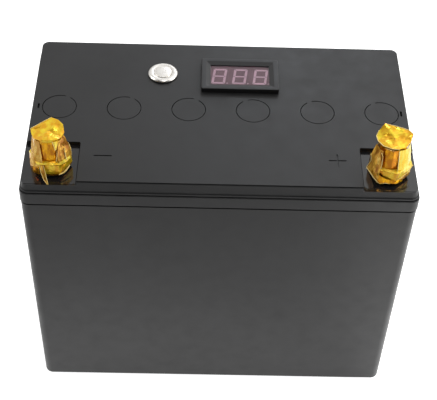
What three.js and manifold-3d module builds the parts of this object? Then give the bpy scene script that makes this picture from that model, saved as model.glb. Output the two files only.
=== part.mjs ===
// A 12 V deep cycle lithium battery in a sealed ABS case: a lid with six vent caps, two brass
// terminal posts wrapped in insulating tape, a metal push button and a three-digit voltmeter.
// Inside are four prismatic cells in series, their busbars, a protection board and the wiring.
// Units are millimetres. The origin is the centre of the base, +Z is up and -Y is the front,
// the side that the terminals stand on.
import * as THREE from "three";
import { mergeVertices } from "three/addons/utils/BufferGeometryUtils.js";
import Module from "manifold-3d";

const wasm = await Module();
wasm.setup();

// ------------------------------------------------------------------ driving dimensions
const LENGTH = 231.2; // along X, over the band at the top of the case
const WIDTH = 130.4; // along Y, over the same band
const LID_TOP = 184.6; // the lid's flat top above the base
const WALL = 3; // moulded wall of the case and the lid
const CORNER = 5; // radius of the upright corners
const FIT = 0.05; // gap left between pieces that rest on each other
const LOOSE = 0.3; // gap round a piece that slips into another

// Case: a plain tapering box below a slightly thicker band, open at the seam.
const SEAM = 175.6;
const BAND_HEIGHT = 8.2;
const BAND_STEP = 0.3; // how far the band stands out from the body below it
const DRAFT_X = 2.3; // how far each end leans in between the band and the base
const DRAFT_Y = 1.9; // how far the front and the back lean in
const BASE_EDGE = 1.2;
const EDGE = 0.3; // bevel along the edges at the seam

// Lid: a lip over the band, a shorter skirt, a flat top and two lower corners for the terminals.
const SEAM_GAP = 0.3;
const LIP_HEIGHT = 1.4;
const LIP_INSET = 0.6; // from the band's face to the lip's
const SKIRT_INSET = 1.9; // from the band's face to the skirt's
const SKIRT_EDGE = 0.7;
const TONGUE_DEPTH = 7;
const TONGUE_THICKNESS = 2.6;
const TONGUE_INSET = BAND_STEP + WALL + 0.5;
const CORNER_DROP = 2.7; // depth of the terminal corners below the lid's top
const CORNER_INNER_X = 82;
const CORNER_BACK_Y = -30.1;
const CORNER_BOSS = 3.4; // thickness of the lid under a terminal corner
const CORNER_FLOOR = LID_TOP - CORNER_DROP;
const PANEL_HOLE_DEPTH = 9; // cuts for the button and the voltmeter start this far down
const SLOT_X = 110; // a narrow vent slot near each end of the lid
const SLOT_Y = 1;
const SLOT_LENGTH = 4.5;
const SLOT_WIDTH = 1.1;
const MARK_X = 68.4; // the plus and the minus, cut into the lid
const MARK_Y = -41.3;
const MARK_ARM = 5.3;
const MARK_HALF = 0.45;
const MARK_DEPTH = 0.5;

// Vent caps, six in a row.
const VENT_COUNT = 6;
const VENT_PITCH = 39.1;
const VENT_X = 0.3; // the middle of the row
const VENT_Y = 0.7;
const VENT_RADIUS = 10.45;
const VENT_GROOVE = 0.45;
const VENT_SINK = 1.8;
const VENT_STEM = 6.6;
const VENT_PLUG = 2.4; // depth of the stem below its shoulder
const VENT_TAB_HALF = 1.6;
const VENT_TAB_TURN = 26; // degrees from +Y to the weld tab, away from the lid's middle

// Terminals.
const TERMINAL_X = 97.7;
const TERMINAL_Y = -47.2;
const SEAL_THICKNESS = 1.2;
const FLANGE_THICKNESS = 1.6;
const FLANGE_RADIUS = 9.3;
const SEAL_RADIUS = 9.8;
const WASHER_RADIUS = 9.5;
const WASHER_THICKNESS = 1.2;
const TERMINAL_NUT_FLATS = 17;
const TERMINAL_NUT_HEIGHT = 6;
const HEX_FLATS = 20;
const HEX_HEIGHT = 8;
const POST_HEIGHT = 24.6; // top of the post above the corner's floor
const STUD_RADIUS = 4.9;
const STUD_LENGTH = 15;
const TAPE_THICKNESS = 0.5;
const TAPE_CROWN = 5.4; // height of the folds of tape gathered above the post

// Push button, 16 mm class.
const BUTTON_X = -35.9;
const BUTTON_Y = 33.1;
const BUTTON_FLANGE_RADIUS = 9.1;
const BUTTON_BODY_RADIUS = 7.95;
const BUTTON_BORE = 5.75;
const BUTTON_BODY_DEPTH = 16;
const BUTTON_SPRING_DEPTH = 8;
const BUTTON_FLANGE_TOP = 2.1;

// Voltmeter, 48 x 29 mm panel type with 14.2 mm digits.
const METER_X = 12.1;
const METER_Y = 31.4;
const METER_LENGTH = 48;
const METER_WIDTH = 29;
const METER_BODY_LENGTH = 45.2;
const METER_BODY_WIDTH = 26.4;
const METER_BODY_DEPTH = 16;
const METER_TOP = 3.3;
const METER_WALL = 1.5;
const WINDOW_LENGTH = 36.6;
const WINDOW_WIDTH = 18.4;
const WINDOW_THICKNESS = 0.8;
const DISPLAY_THICKNESS = 6.5;
const BOARD_THICKNESS = 1.6; // of both circuit boards

// Cells, 50 Ah prismatic, laid side by side along Y.
const CELL_COUNT = 4;
const CELL_LENGTH = 148.2;
const CELL_THICKNESS = 26.7;
const CELL_HEIGHT = 130;
const CELL_GAP = 1;
const CELL_PITCH = CELL_THICKNESS + CELL_GAP;
const PAD_HEIGHT = 3;
const CELL_BASE = WALL + PAD_HEIGHT;
const CELL_TOP = CELL_BASE + CELL_HEIGHT;
const POST_X = 51.5; // cell posts from the middle of the cell
const BOLT_X = POST_X + 4;
const STRAP_BASE = 60;
const STRAP_TOP = 85;
const END_FOAM_HALF_WIDTH = 52;
const END_FOAM_TOP = 118;
const CELL_POST_HEIGHT = 3;
const BUSBAR_THICKNESS = 2;
const BUSBAR_WIDTH = 18;
const BUSBAR_BASE = CELL_TOP + CELL_POST_HEIGHT + FIT;
const BUSBAR_TOP = BUSBAR_BASE + BUSBAR_THICKNESS;
const SHEET_BASE = BUSBAR_TOP + 1.6;

// Wiring.
const CABLE_RADIUS = 3;
const WIRE_RADIUS = 0.8;
const LUG_THICKNESS = 2;
const LUG_BARREL_LENGTH = 11;
const LUG_REACH = 12; // from the hole's centre to the barrel
const LUG_AXIS = CABLE_RADIUS + LOOSE + 0.9; // height of the barrel's axis, and its radius

// ------------------------------------------------------------------ materials
const material = (color, roughness, metalness = 0) =>
  new THREE.MeshStandardMaterial({ color, roughness, metalness });
const blackPlastic = material(0x2b2b2b, 0.5);
const bezelPlastic = material(0x1d1e20, 0.45);
const brass = material(0xc9a24b, 0.3, 1);
const blackRubber = material(0x161616, 0.85);
const amberFilm = material(0xd98a12, 0.2);
const brightSteel = material(0xdedbd3, 0.25, 1);
const zincSteel = material(0xb3b3ae, 0.4, 1);
const tinnedCopper = material(0xc4c1ba, 0.35, 1);
const aluminium = material(0xc2c4c6, 0.4, 1);
const nylon = material(0x20201f, 0.6);
const smokedLens = material(0x6c4a55, 0.1);
const displayFace = material(0x7a5a66, 0.5);
const boardGreen = material(0x1f5b33, 0.5);
const cellFilm = material(0x2a5c9e, 0.35);
const greyFoam = material(0x4a4a4c, 0.95);
const fibreSheet = material(0xb9a96a, 0.6);
const redSilicone = material(0xa81e1a, 0.5);
const blackSilicone = material(0x191919, 0.5);
const whiteInsulation = material(0xdcd9cf, 0.6);
const strapTape = material(0xd8d2bd, 0.5);

// ------------------------------------------------------------------ shapes and solids
// A closed geometry as a solid that can be joined and cut.
function solid(geometry) {
  const plain = geometry.index ? geometry.toNonIndexed() : geometry.clone();
  plain.deleteAttribute("normal");
  plain.deleteAttribute("uv");
  const merged = mergeVertices(plain, 1e-4);
  return new wasm.Manifold(
    new wasm.Mesh({
      numProp: 3,
      vertProperties: merged.attributes.position.array,
      triVerts: new Uint32Array(merged.index.array),
    }),
  );
}

// A solid back as a geometry, or a geometry as it is.
function geometryOf(shape) {
  if (shape.isBufferGeometry) return shape;
  const mesh = shape.getMesh();
  const geometry = new THREE.BufferGeometry();
  geometry.setAttribute("position", new THREE.BufferAttribute(mesh.vertProperties, 3));
  geometry.setIndex(new THREE.BufferAttribute(mesh.triVerts, 1));
  geometry.computeVertexNormals();
  return geometry;
}

function piece(name, shape, look) {
  const mesh = new THREE.Mesh(geometryOf(shape), look);
  mesh.name = name;
  return mesh;
}

function group(x, y, z, ...children) {
  const made = new THREE.Group();
  made.position.set(x, y, z);
  made.add(...children);
  return made;
}

function roundedRectangle(length, width, radius) {
  const x = length / 2 - radius;
  const y = width / 2 - radius;
  const shape = new THREE.Shape();
  shape.absarc(x, y, radius, 0, Math.PI / 2);
  shape.absarc(-x, y, radius, Math.PI / 2, Math.PI);
  shape.absarc(-x, -y, radius, Math.PI, 1.5 * Math.PI);
  shape.absarc(x, -y, radius, 1.5 * Math.PI, 2 * Math.PI);
  return shape;
}

// A flat outline raised from one height to another, with its edges bevelled if edge is given.
function raise(shape, low, high, { edge = 0, steps = 4 } = {}) {
  return new THREE.ExtrudeGeometry(shape, {
    depth: high - low - 2 * edge,
    curveSegments: steps,
    bevelEnabled: edge > 0,
    bevelThickness: edge,
    bevelSize: edge,
    bevelOffset: -edge,
    bevelSegments: 1,
  }).translate(0, 0, low + edge);
}

// A box from its low corner to its high corner.
function block(x0, y0, z0, x1, y1, z1) {
  return new THREE.BoxGeometry(x1 - x0, y1 - y0, z1 - z0).translate(
    (x0 + x1) / 2,
    (y0 + y1) / 2,
    (z0 + z1) / 2,
  );
}

// An upright cylinder, or an upright prism when it has few sides.
function rod(radius, low, high, sides = 24, x = 0, y = 0) {
  return new THREE.CylinderGeometry(radius, radius, high - low, sides)
    .rotateX(Math.PI / 2)
    .translate(x, y, (low + high) / 2);
}

const hexRadius = (flats) => flats / 2 / Math.cos(Math.PI / 6);

// A turned piece about Z from a profile of [radius, height] points.
function turned(profile, sides = 20) {
  const points = profile.map(([radius, height]) => new THREE.Vector2(radius, height));
  return new THREE.LatheGeometry(points, sides).rotateX(Math.PI / 2);
}

// A turned ring: the profile closes on itself.
const ring = (inner, outer, low, high, sides) =>
  turned([[inner, low], [outer, low], [outer, high], [inner, high], [inner, low]], sides);

function polygon(radius, sides) {
  const points = [];
  for (let i = 0; i < sides; i += 1) {
    const angle = (2 * Math.PI * i) / sides;
    points.push(new THREE.Vector2(radius * Math.cos(angle), radius * Math.sin(angle)));
  }
  return new THREE.Shape(points);
}

// A section carried along a curve.
const sweep = (shape, path, steps) =>
  new THREE.ExtrudeGeometry(shape, { steps, bevelEnabled: false, extrudePath: path });

const smoothPath = (points) =>
  new THREE.CatmullRomCurve3(points.map((point) => new THREE.Vector3(...point)));

// ------------------------------------------------------------------ case
// Leans the sides in below the band, by DRAFT_X and DRAFT_Y at the base.
function draft(geometry) {
  const position = geometry.getAttribute("position");
  const top = SEAM - BAND_HEIGHT;
  for (let i = 0; i < position.count; i += 1) {
    const share = Math.max(0, 1 - position.getZ(i) / top);
    position.setX(i, position.getX(i) * (1 - (share * DRAFT_X) / (LENGTH / 2)));
    position.setY(i, position.getY(i) * (1 - (share * DRAFT_Y) / (WIDTH / 2)));
  }
  return geometry;
}

function caseBox() {
  const bodyLength = LENGTH - 2 * BAND_STEP;
  const bodyWidth = WIDTH - 2 * BAND_STEP;
  const bandBase = SEAM - BAND_HEIGHT;
  const outline = roundedRectangle(bodyLength, bodyWidth, CORNER);
  const body = solid(draft(raise(outline, 0, bandBase + WALL, { edge: BASE_EDGE })));
  const bandOutline = roundedRectangle(LENGTH, WIDTH, CORNER);
  const band = solid(raise(bandOutline, bandBase, SEAM, { edge: EDGE }));
  const inside = roundedRectangle(bodyLength - 2 * WALL, bodyWidth - 2 * WALL, CORNER - 1);
  const cavity = solid(draft(raise(inside, WALL, SEAM + 1)));
  return piece("case_box", body.add(band).subtract(cavity), blackPlastic);
}

// ------------------------------------------------------------------ lid
const ventX = (index) => VENT_X + (index - (VENT_COUNT - 1) / 2) * VENT_PITCH;
const inset = (distance, radius) =>
  roundedRectangle(LENGTH - 2 * distance, WIDTH - 2 * distance, radius);

function lidShell() {
  const lipBase = SEAM + SEAM_GAP;
  const lipTop = lipBase + LIP_HEIGHT;
  const lip = raise(inset(LIP_INSET, CORNER), lipBase, lipTop, { edge: EDGE });
  const skirt = raise(inset(SKIRT_INSET, CORNER - 1), lipBase, LID_TOP, { edge: SKIRT_EDGE });
  const tongue = raise(inset(TONGUE_INSET, CORNER - 1), SEAM - TONGUE_DEPTH, lipBase + 1);
  const hollowOutline = inset(TONGUE_INSET + TONGUE_THICKNESS, CORNER - 2);
  const hollow = raise(hollowOutline, SEAM - TONGUE_DEPTH - 1, LID_TOP - WALL);
  return solid(lip).add(solid(skirt)).add(solid(tongue)).subtract(solid(hollow));
}

// One lowered corner: a thicker floor below it, and the space cut out above it.
function cutTerminalCorner(lid, side) {
  const span = (near, far) => (side > 0 ? [near, far] : [-far, -near]);
  const wallInside = TONGUE_INSET + TONGUE_THICKNESS - 0.4;
  const [bossLow, bossHigh] = span(CORNER_INNER_X - WALL, LENGTH / 2 - wallInside);
  const [openLow, openHigh] = span(CORNER_INNER_X, LENGTH / 2 + 1);
  const bossFront = -WIDTH / 2 + wallInside;
  const bossBack = CORNER_BACK_Y + WALL;
  const floorBase = CORNER_FLOOR - CORNER_BOSS;
  const boss = block(bossLow, bossFront, floorBase, bossHigh, bossBack, LID_TOP - 1);
  const open = block(openLow, -WIDTH / 2 - 1, CORNER_FLOOR, openHigh, CORNER_BACK_Y, LID_TOP + 1);
  const hole = rod(STUD_RADIUS + LOOSE, floorBase - 1, LID_TOP, 24, side * TERMINAL_X, TERMINAL_Y);
  return lid.add(solid(boss)).subtract(solid(open)).subtract(solid(hole));
}

// The shallow plus and minus beside the terminals.
function cutPolarityMarks(lid) {
  const bar = (x, reachX, reachY) =>
    solid(block(
      x - reachX,
      MARK_Y - reachY,
      LID_TOP - MARK_DEPTH,
      x + reachX,
      MARK_Y + reachY,
      LID_TOP + 1,
    ));
  const minus = bar(-MARK_X, MARK_ARM, MARK_HALF);
  const plus = bar(MARK_X, MARK_ARM, MARK_HALF).add(bar(MARK_X, MARK_HALF, MARK_ARM));
  return lid.subtract(minus).subtract(plus);
}

// A narrow slot near one end of the lid.
function ventSlot(side) {
  const x = side * SLOT_X;
  return solid(block(
    x - SLOT_WIDTH / 2,
    SLOT_Y - SLOT_LENGTH / 2,
    LID_TOP - 2,
    x + SLOT_WIDTH / 2,
    SLOT_Y + SLOT_LENGTH / 2,
    LID_TOP + 1,
  ));
}

function lid() {
  let shape = lidShell();
  for (const side of [-1, 1]) {
    shape = cutTerminalCorner(shape, side).subtract(ventSlot(side));
  }
  for (let i = 0; i < VENT_COUNT; i += 1) {
    const sink = rod(VENT_RADIUS, LID_TOP - VENT_SINK, LID_TOP + 1, 24, ventX(i), VENT_Y);
    const through = rod(VENT_STEM + LOOSE, LID_TOP - 2 * WALL, LID_TOP, 24, ventX(i), VENT_Y);
    shape = shape.subtract(solid(sink)).subtract(solid(through));
  }
  const holeBase = LID_TOP - PANEL_HOLE_DEPTH;
  const buttonRadius = BUTTON_BODY_RADIUS + LOOSE;
  const buttonHole = rod(buttonRadius, holeBase, LID_TOP + 1, 24, BUTTON_X, BUTTON_Y);
  const meterLength = METER_BODY_LENGTH / 2 + LOOSE;
  const meterWidth = METER_BODY_WIDTH / 2 + LOOSE;
  const meterHole = block(
    METER_X - meterLength,
    METER_Y - meterWidth,
    holeBase,
    METER_X + meterLength,
    METER_Y + meterWidth,
    LID_TOP + 1,
  );
  shape = shape.subtract(solid(buttonHole)).subtract(solid(meterHole));
  return piece("lid", cutPolarityMarks(shape), blackPlastic);
}

// A round plug for one vent, with a tab that marks where it was welded in.
function ventCap(index) {
  const disc = turned([
    [0, -VENT_SINK - VENT_PLUG],
    [VENT_STEM, -VENT_SINK - VENT_PLUG],
    [VENT_STEM, FIT - VENT_SINK],
    [VENT_RADIUS - VENT_GROOVE, FIT - VENT_SINK],
    [VENT_RADIUS - VENT_GROOVE, 0],
    [0, 0],
  ], 24);
  const side = Math.sign(ventX(index));
  const reach = VENT_RADIUS - LOOSE;
  const tab = block(-VENT_TAB_HALF, 0, FIT - VENT_SINK, VENT_TAB_HALF, reach, 0);
  tab.rotateZ(THREE.MathUtils.degToRad(side * VENT_TAB_TURN));
  const cap = piece(`vent_cap_${index + 1}`, solid(disc).add(solid(tab)), blackPlastic);
  cap.position.set(ventX(index), VENT_Y, LID_TOP);
  return cap;
}

// ------------------------------------------------------------------ terminals
// Heights in a terminal are above the floor of its corner.
function terminalPost(name, { footRadius, tipRadius, hexTurn }) {
  const flangeBase = SEAL_THICKNESS + 2 * FIT;
  const hexBase = flangeBase + FLANGE_THICKNESS;
  const hexTop = hexBase + HEX_HEIGHT;
  const chamfer = 0.8;
  const turnedBody = turned([
    [0, -STUD_LENGTH],
    [STUD_RADIUS - chamfer, -STUD_LENGTH],
    [STUD_RADIUS, -STUD_LENGTH + chamfer],
    [STUD_RADIUS, flangeBase],
    [FLANGE_RADIUS, flangeBase],
    [FLANGE_RADIUS, hexBase + 0.4],
    [footRadius, hexBase + 0.4],
    [footRadius, hexTop],
    [tipRadius, POST_HEIGHT - chamfer],
    [tipRadius - chamfer, POST_HEIGHT],
    [0, POST_HEIGHT],
  ]);
  const hex = rod(hexRadius(HEX_FLATS), hexBase, hexTop, 6);
  hex.rotateZ(THREE.MathUtils.degToRad(hexTurn));
  return piece(name, solid(turnedBody).add(solid(hex)), brass);
}

// The tape as a closed skin over the post and its hex base, open below, gathered over the top.
function terminalTape(name, tipRadius) {
  const skirt = hexRadius(HEX_FLATS) + LOOSE;
  const neck = tipRadius + 1.4;
  const low = SEAL_THICKNESS + 0.6;
  const shoulder = SEAL_THICKNESS + FLANGE_THICKNESS + HEX_HEIGHT + 0.6;
  const top = POST_HEIGHT + LOOSE;
  return piece(
    name,
    turned([
      [0, top],
      [neck, top],
      [neck, shoulder + 1.6],
      [skirt, shoulder],
      [skirt, low],
      [skirt + TAPE_THICKNESS, low],
      [skirt + TAPE_THICKNESS, shoulder + 0.3],
      [neck + TAPE_THICKNESS, shoulder + 2],
      [neck + TAPE_THICKNESS, top + TAPE_THICKNESS],
      [0.55 * neck, top + TAPE_CROWN],
      [0, top + TAPE_CROWN],
    ], 16),
    amberFilm,
  );
}

// A crimped ring lug, flat at height zero, its barrel pointing along +Y.
function ringLug(name, holeRadius, eyeRadius) {
  const eye = rod(eyeRadius, 0, LUG_THICKNESS, 18);
  const tongue = block(-4, 0, 0, 4, LUG_REACH + 1, LUG_THICKNESS);
  const barrelRadius = LUG_AXIS;
  const barrelEnd = LUG_REACH + LUG_BARREL_LENGTH;
  const along = (radius, low, high) =>
    new THREE.CylinderGeometry(radius, radius, high - low, 12).translate(0, (low + high) / 2, 0);
  const barrel = along(barrelRadius, LUG_REACH, barrelEnd).translate(0, 0, barrelRadius);
  const bore = along(CABLE_RADIUS + LOOSE, LUG_REACH + 2, barrelEnd + 1);
  const shape = solid(eye)
    .add(solid(tongue))
    .add(solid(barrel))
    .subtract(solid(bore.translate(0, 0, barrelRadius)))
    .subtract(solid(rod(holeRadius, -1, LUG_THICKNESS + 1, 16)));
  return piece(name, shape, tinnedCopper);
}

function terminal(sign, polarity, post) {
  const under = -CORNER_BOSS - FIT;
  const washerBase = under - WASHER_THICKNESS;
  const lugBase = washerBase - FIT - LUG_THICKNESS;
  const nutTop = lugBase - FIT;
  const nutBase = nutTop - TERMINAL_NUT_HEIGHT;
  const bore = STUD_RADIUS + 0.15;
  const seal = ring(STUD_RADIUS + LOOSE, SEAL_RADIUS, FIT, FIT + SEAL_THICKNESS, 20);
  const washer = ring(bore, WASHER_RADIUS, washerBase, under, 16);
  const nut = solid(rod(hexRadius(TERMINAL_NUT_FLATS), nutBase, nutTop, 6)).subtract(
    solid(rod(bore, nutBase - 1, nutTop + 1, 16)),
  );
  // The lug is turned over, so that its barrel hangs below the flat eye and clears the lid.
  const lug = ringLug(`terminal_lug_${polarity}`, bore, 8.4);
  lug.rotation.y = Math.PI;
  lug.position.z = lugBase + LUG_THICKNESS;
  return group(
    sign * TERMINAL_X,
    TERMINAL_Y,
    CORNER_FLOOR,
    terminalPost(`terminal_post_${polarity}`, post),
    terminalTape(`terminal_tape_${polarity}`, post.tipRadius),
    piece(`terminal_seal_${polarity}`, seal, blackRubber),
    piece(`terminal_washer_${polarity}`, washer, zincSteel),
    piece(`terminal_nut_${polarity}`, nut, brass),
    lug,
  );
}

// ------------------------------------------------------------------ push button
class Helix extends THREE.Curve {
  constructor(radius, low, high, turns) {
    super();
    Object.assign(this, { radius, low, high, turns });
  }

  getPoint(t, target = new THREE.Vector3()) {
    const angle = 2 * Math.PI * this.turns * t;
    const x = this.radius * Math.cos(angle);
    const y = this.radius * Math.sin(angle);
    return target.set(x, y, THREE.MathUtils.lerp(this.low, this.high, t));
  }
}

// Heights in the button are above the lid's top.
function pushButton() {
  const flangeBase = 0.55;
  const stemBore = 4.2;
  const headBase = -1.5;
  const bushing = turned([
    [BUTTON_BORE, -BUTTON_SPRING_DEPTH],
    [stemBore, -BUTTON_SPRING_DEPTH],
    [stemBore, -BUTTON_BODY_DEPTH],
    [BUTTON_BODY_RADIUS, -BUTTON_BODY_DEPTH],
    [BUTTON_BODY_RADIUS, flangeBase],
    [BUTTON_FLANGE_RADIUS, flangeBase],
    [BUTTON_FLANGE_RADIUS, 1.2],
    [BUTTON_FLANGE_RADIUS - 0.9, BUTTON_FLANGE_TOP],
    [BUTTON_BORE, BUTTON_FLANGE_TOP],
    [BUTTON_BORE, -BUTTON_SPRING_DEPTH],
  ], 24);
  const cap = turned([
    [0, -12],
    [2.5, -12],
    [2.5, headBase],
    [BUTTON_BORE - 0.15, headBase],
    [BUTTON_BORE - 0.15, BUTTON_FLANGE_TOP + 0.2],
    [BUTTON_BORE - 0.55, BUTTON_FLANGE_TOP + 0.5],
    [0, BUTTON_FLANGE_TOP + 0.5],
  ], 24);
  const coil = new Helix(4.3, -BUTTON_SPRING_DEPTH + 0.5, headBase - 0.5, 4);
  const nutTop = -WALL - FIT;
  const nut = solid(rod(hexRadius(20), nutTop - 2.5, nutTop, 6)).subtract(
    solid(rod(BUTTON_BODY_RADIUS + 0.15, nutTop - 4, nutTop + 1, 24)),
  );
  const insertTop = -BUTTON_BODY_DEPTH - FIT;
  let insert = solid(rod(6.8, insertTop - 5, insertTop, 20));
  for (const side of [-1, 1]) {
    const x = side * 3;
    insert = insert.add(solid(block(x - 0.25, -1.4, insertTop - 10, x + 0.25, 1.4, insertTop - 4)));
  }
  return group(
    BUTTON_X,
    BUTTON_Y,
    LID_TOP,
    piece("button_bushing", bushing, brightSteel),
    piece("button_cap", cap, brightSteel),
    piece("button_spring", sweep(polygon(0.4, 5), coil, 44), zincSteel),
    piece("button_seal", ring(8.1, 8.95, FIT, flangeBase - FIT, 24), blackRubber),
    piece("button_nut", nut, zincSteel),
    piece("button_contact_block", insert, nylon),
  );
}

// ------------------------------------------------------------------ voltmeter
// A four-sided funnel that narrows from one rectangle to a smaller one below it.
function funnel(length, width, narrowing, low, high) {
  const geometry = new THREE.BoxGeometry(length, width, high - low).translate(0, 0, (low + high) / 2);
  const position = geometry.getAttribute("position");
  for (let i = 0; i < position.count; i += 1) {
    if (position.getZ(i) > (low + high) / 2) continue;
    position.setX(i, position.getX(i) * (1 - (2 * narrowing) / length));
    position.setY(i, position.getY(i) * (1 - (2 * narrowing) / width));
  }
  return geometry;
}

// A box about the Z axis, from one height to another.
const middleBlock = (length, width, low, high) =>
  block(-length / 2, -width / 2, low, length / 2, width / 2, high);

// Heights in the voltmeter are above the lid's top.
const METER_PLATE_BASE = 1.8; // underside of the front plate
const METER_BODY_TOP = 1;

function voltmeterBezel() {
  const sill = METER_PLATE_BASE + 0.4; // height of the window's edge
  const slope = 2.6;
  const bodyOutline = roundedRectangle(METER_BODY_LENGTH, METER_BODY_WIDTH, 0.8);
  const plateOutline = roundedRectangle(METER_LENGTH, METER_WIDTH, 0.8);
  const plate = raise(plateOutline, FIT, METER_TOP, { edge: 0.5, steps: 2 });
  const body = raise(bodyOutline, -METER_BODY_DEPTH, METER_BODY_TOP, { steps: 2 });
  const hollow = middleBlock(
    METER_BODY_LENGTH - 2 * METER_WALL,
    METER_BODY_WIDTH - 2 * METER_WALL,
    -METER_BODY_DEPTH - 1,
    METER_PLATE_BASE,
  );
  const opening = middleBlock(WINDOW_LENGTH, WINDOW_WIDTH, METER_PLATE_BASE - 1, METER_TOP + 1);
  const topLength = WINDOW_LENGTH + 2 * slope;
  const topWidth = WINDOW_WIDTH + 2 * slope;
  const sides = funnel(topLength, topWidth, slope, sill, METER_TOP + 0.01);
  let bezel = solid(plate).add(solid(body));
  bezel = bezel.subtract(solid(hollow)).subtract(solid(opening)).subtract(solid(sides));
  for (const side of [-1, 1]) bezel = bezel.add(meterClip(side));
  return bezel;
}

// The wedge on one end of the housing that snaps under the lid.
function meterClip(side) {
  const clip = funnel(2.6, 8, 1.2, -9, -WALL - 0.4);
  const keep = middleBlock(4, 10, -10, 0).translate(side, 0, 0);
  return solid(clip).intersect(solid(keep)).translate(side * (METER_BODY_LENGTH / 2), 0, 0);
}

function voltmeterBoard(top) {
  const base = top - BOARD_THICKNESS;
  const chip = block(-5, -5, base - 1.6, 5, 5, base + 1);
  const socket = block(12, -4, base - 2.8, 18, 4, base + 1);
  return solid(middleBlock(41.6, 22.8, base, top)).add(solid(chip)).add(solid(socket));
}

function voltmeter() {
  const paneLength = WINDOW_LENGTH + 1;
  const paneWidth = WINDOW_WIDTH + 1.2;
  const paneTop = METER_PLATE_BASE - FIT;
  const displayTop = paneTop - WINDOW_THICKNESS - FIT;
  const displayBase = displayTop - DISPLAY_THICKNESS;
  const pane = middleBlock(paneLength, paneWidth, paneTop - WINDOW_THICKNESS, paneTop);
  const display = middleBlock(paneLength, paneWidth - 0.4, displayBase, displayTop);
  return group(
    METER_X,
    METER_Y,
    LID_TOP,
    piece("voltmeter_bezel", voltmeterBezel(), bezelPlastic),
    piece("voltmeter_window", pane, smokedLens),
    piece("voltmeter_display", display, displayFace),
    piece("voltmeter_board", voltmeterBoard(displayBase - FIT), boardGreen),
  );
}

// ------------------------------------------------------------------ cells and busbars
const cellY = (index) => (index - (CELL_COUNT - 1) / 2) * CELL_PITCH;

function cell(index) {
  const can = raise(roundedRectangle(CELL_LENGTH, CELL_THICKNESS, 3), CELL_BASE, CELL_TOP, { steps: 2 });
  let shape = solid(can);
  for (const side of [-1, 1]) {
    const post = raise(roundedRectangle(18, 13, 2), CELL_TOP - 1, CELL_TOP + CELL_POST_HEIGHT, { steps: 2 });
    shape = shape.add(solid(post.translate(side * POST_X, 0, 0)));
  }
  const vent = raise(roundedRectangle(16, 8, 3.9), CELL_TOP - 1, CELL_TOP + 0.4, { steps: 2 });
  const made = piece(`cell_${index + 1}`, shape.add(solid(vent)), cellFilm);
  made.position.y = cellY(index);
  return made;
}

function separator(index) {
  const half = (CELL_GAP - 0.2) / 2;
  const sheet = block(-CELL_LENGTH / 2 + 2, -half, CELL_BASE, CELL_LENGTH / 2 - 2, half, CELL_TOP - 2);
  const made = piece(`cell_separator_${index + 1}`, sheet, whiteInsulation);
  made.position.y = (cellY(index) + cellY(index + 1)) / 2;
  return made;
}

// A flat bar over two neighbouring posts, arched between them so that it can flex.
function seriesBusbar(index) {
  const side = index % 2 === 0 ? -1 : 1;
  const end = CELL_PITCH / 2 + 6;
  const arch = 1.3;
  const outline = new THREE.Shape();
  outline.moveTo(-end, 0);
  outline.lineTo(-5, 0);
  outline.quadraticCurveTo(0, 2 * arch, 5, 0);
  outline.lineTo(end, 0);
  outline.lineTo(end, BUSBAR_THICKNESS);
  outline.lineTo(5, BUSBAR_THICKNESS);
  outline.quadraticCurveTo(0, BUSBAR_THICKNESS + 2 * arch, -5, BUSBAR_THICKNESS);
  outline.lineTo(-end, BUSBAR_THICKNESS);
  outline.closePath();
  const bar = new THREE.ExtrudeGeometry(outline, {
    depth: BUSBAR_WIDTH,
    curveSegments: 5,
    bevelEnabled: false,
  });
  bar.rotateX(Math.PI / 2).rotateZ(Math.PI / 2).translate(-BUSBAR_WIDTH / 2, 0, BUSBAR_BASE);
  const made = piece(`series_busbar_${index + 1}`, bar, aluminium);
  made.position.set(side * POST_X, (cellY(index) + cellY(index + 1)) / 2, 0);
  return made;
}

// The bar that takes a cable lug. The lug's bolt stands on it.
function endBusbar(polarity, index) {
  const bar = block(-9, -6, BUSBAR_BASE, 14, 6, BUSBAR_TOP);
  const made = piece(`end_busbar_${polarity}`, bar, aluminium);
  made.position.set(POST_X, cellY(index), 0);
  return made;
}

function cellLug(polarity, index, turn) {
  const lug = ringLug(`cell_lug_${polarity}`, 3.2, 6.2);
  lug.rotation.z = turn;
  const shank = turned([
    [0, LUG_THICKNESS + FIT],
    [5.2, LUG_THICKNESS + FIT],
    [5.2, LUG_THICKNESS + 1.3],
    [4, LUG_THICKNESS + 1.3],
    [4, LUG_THICKNESS + 4.5],
    [0, LUG_THICKNESS + 4.5],
  ], 14);
  const stem = rod(2.9, 0.1, LUG_THICKNESS + 1, 12);
  const bolt = piece(`lug_bolt_${polarity}`, solid(shank).add(solid(stem)), zincSteel);
  return group(BOLT_X, cellY(index), BUSBAR_TOP + LOOSE, lug, bolt);
}

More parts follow.
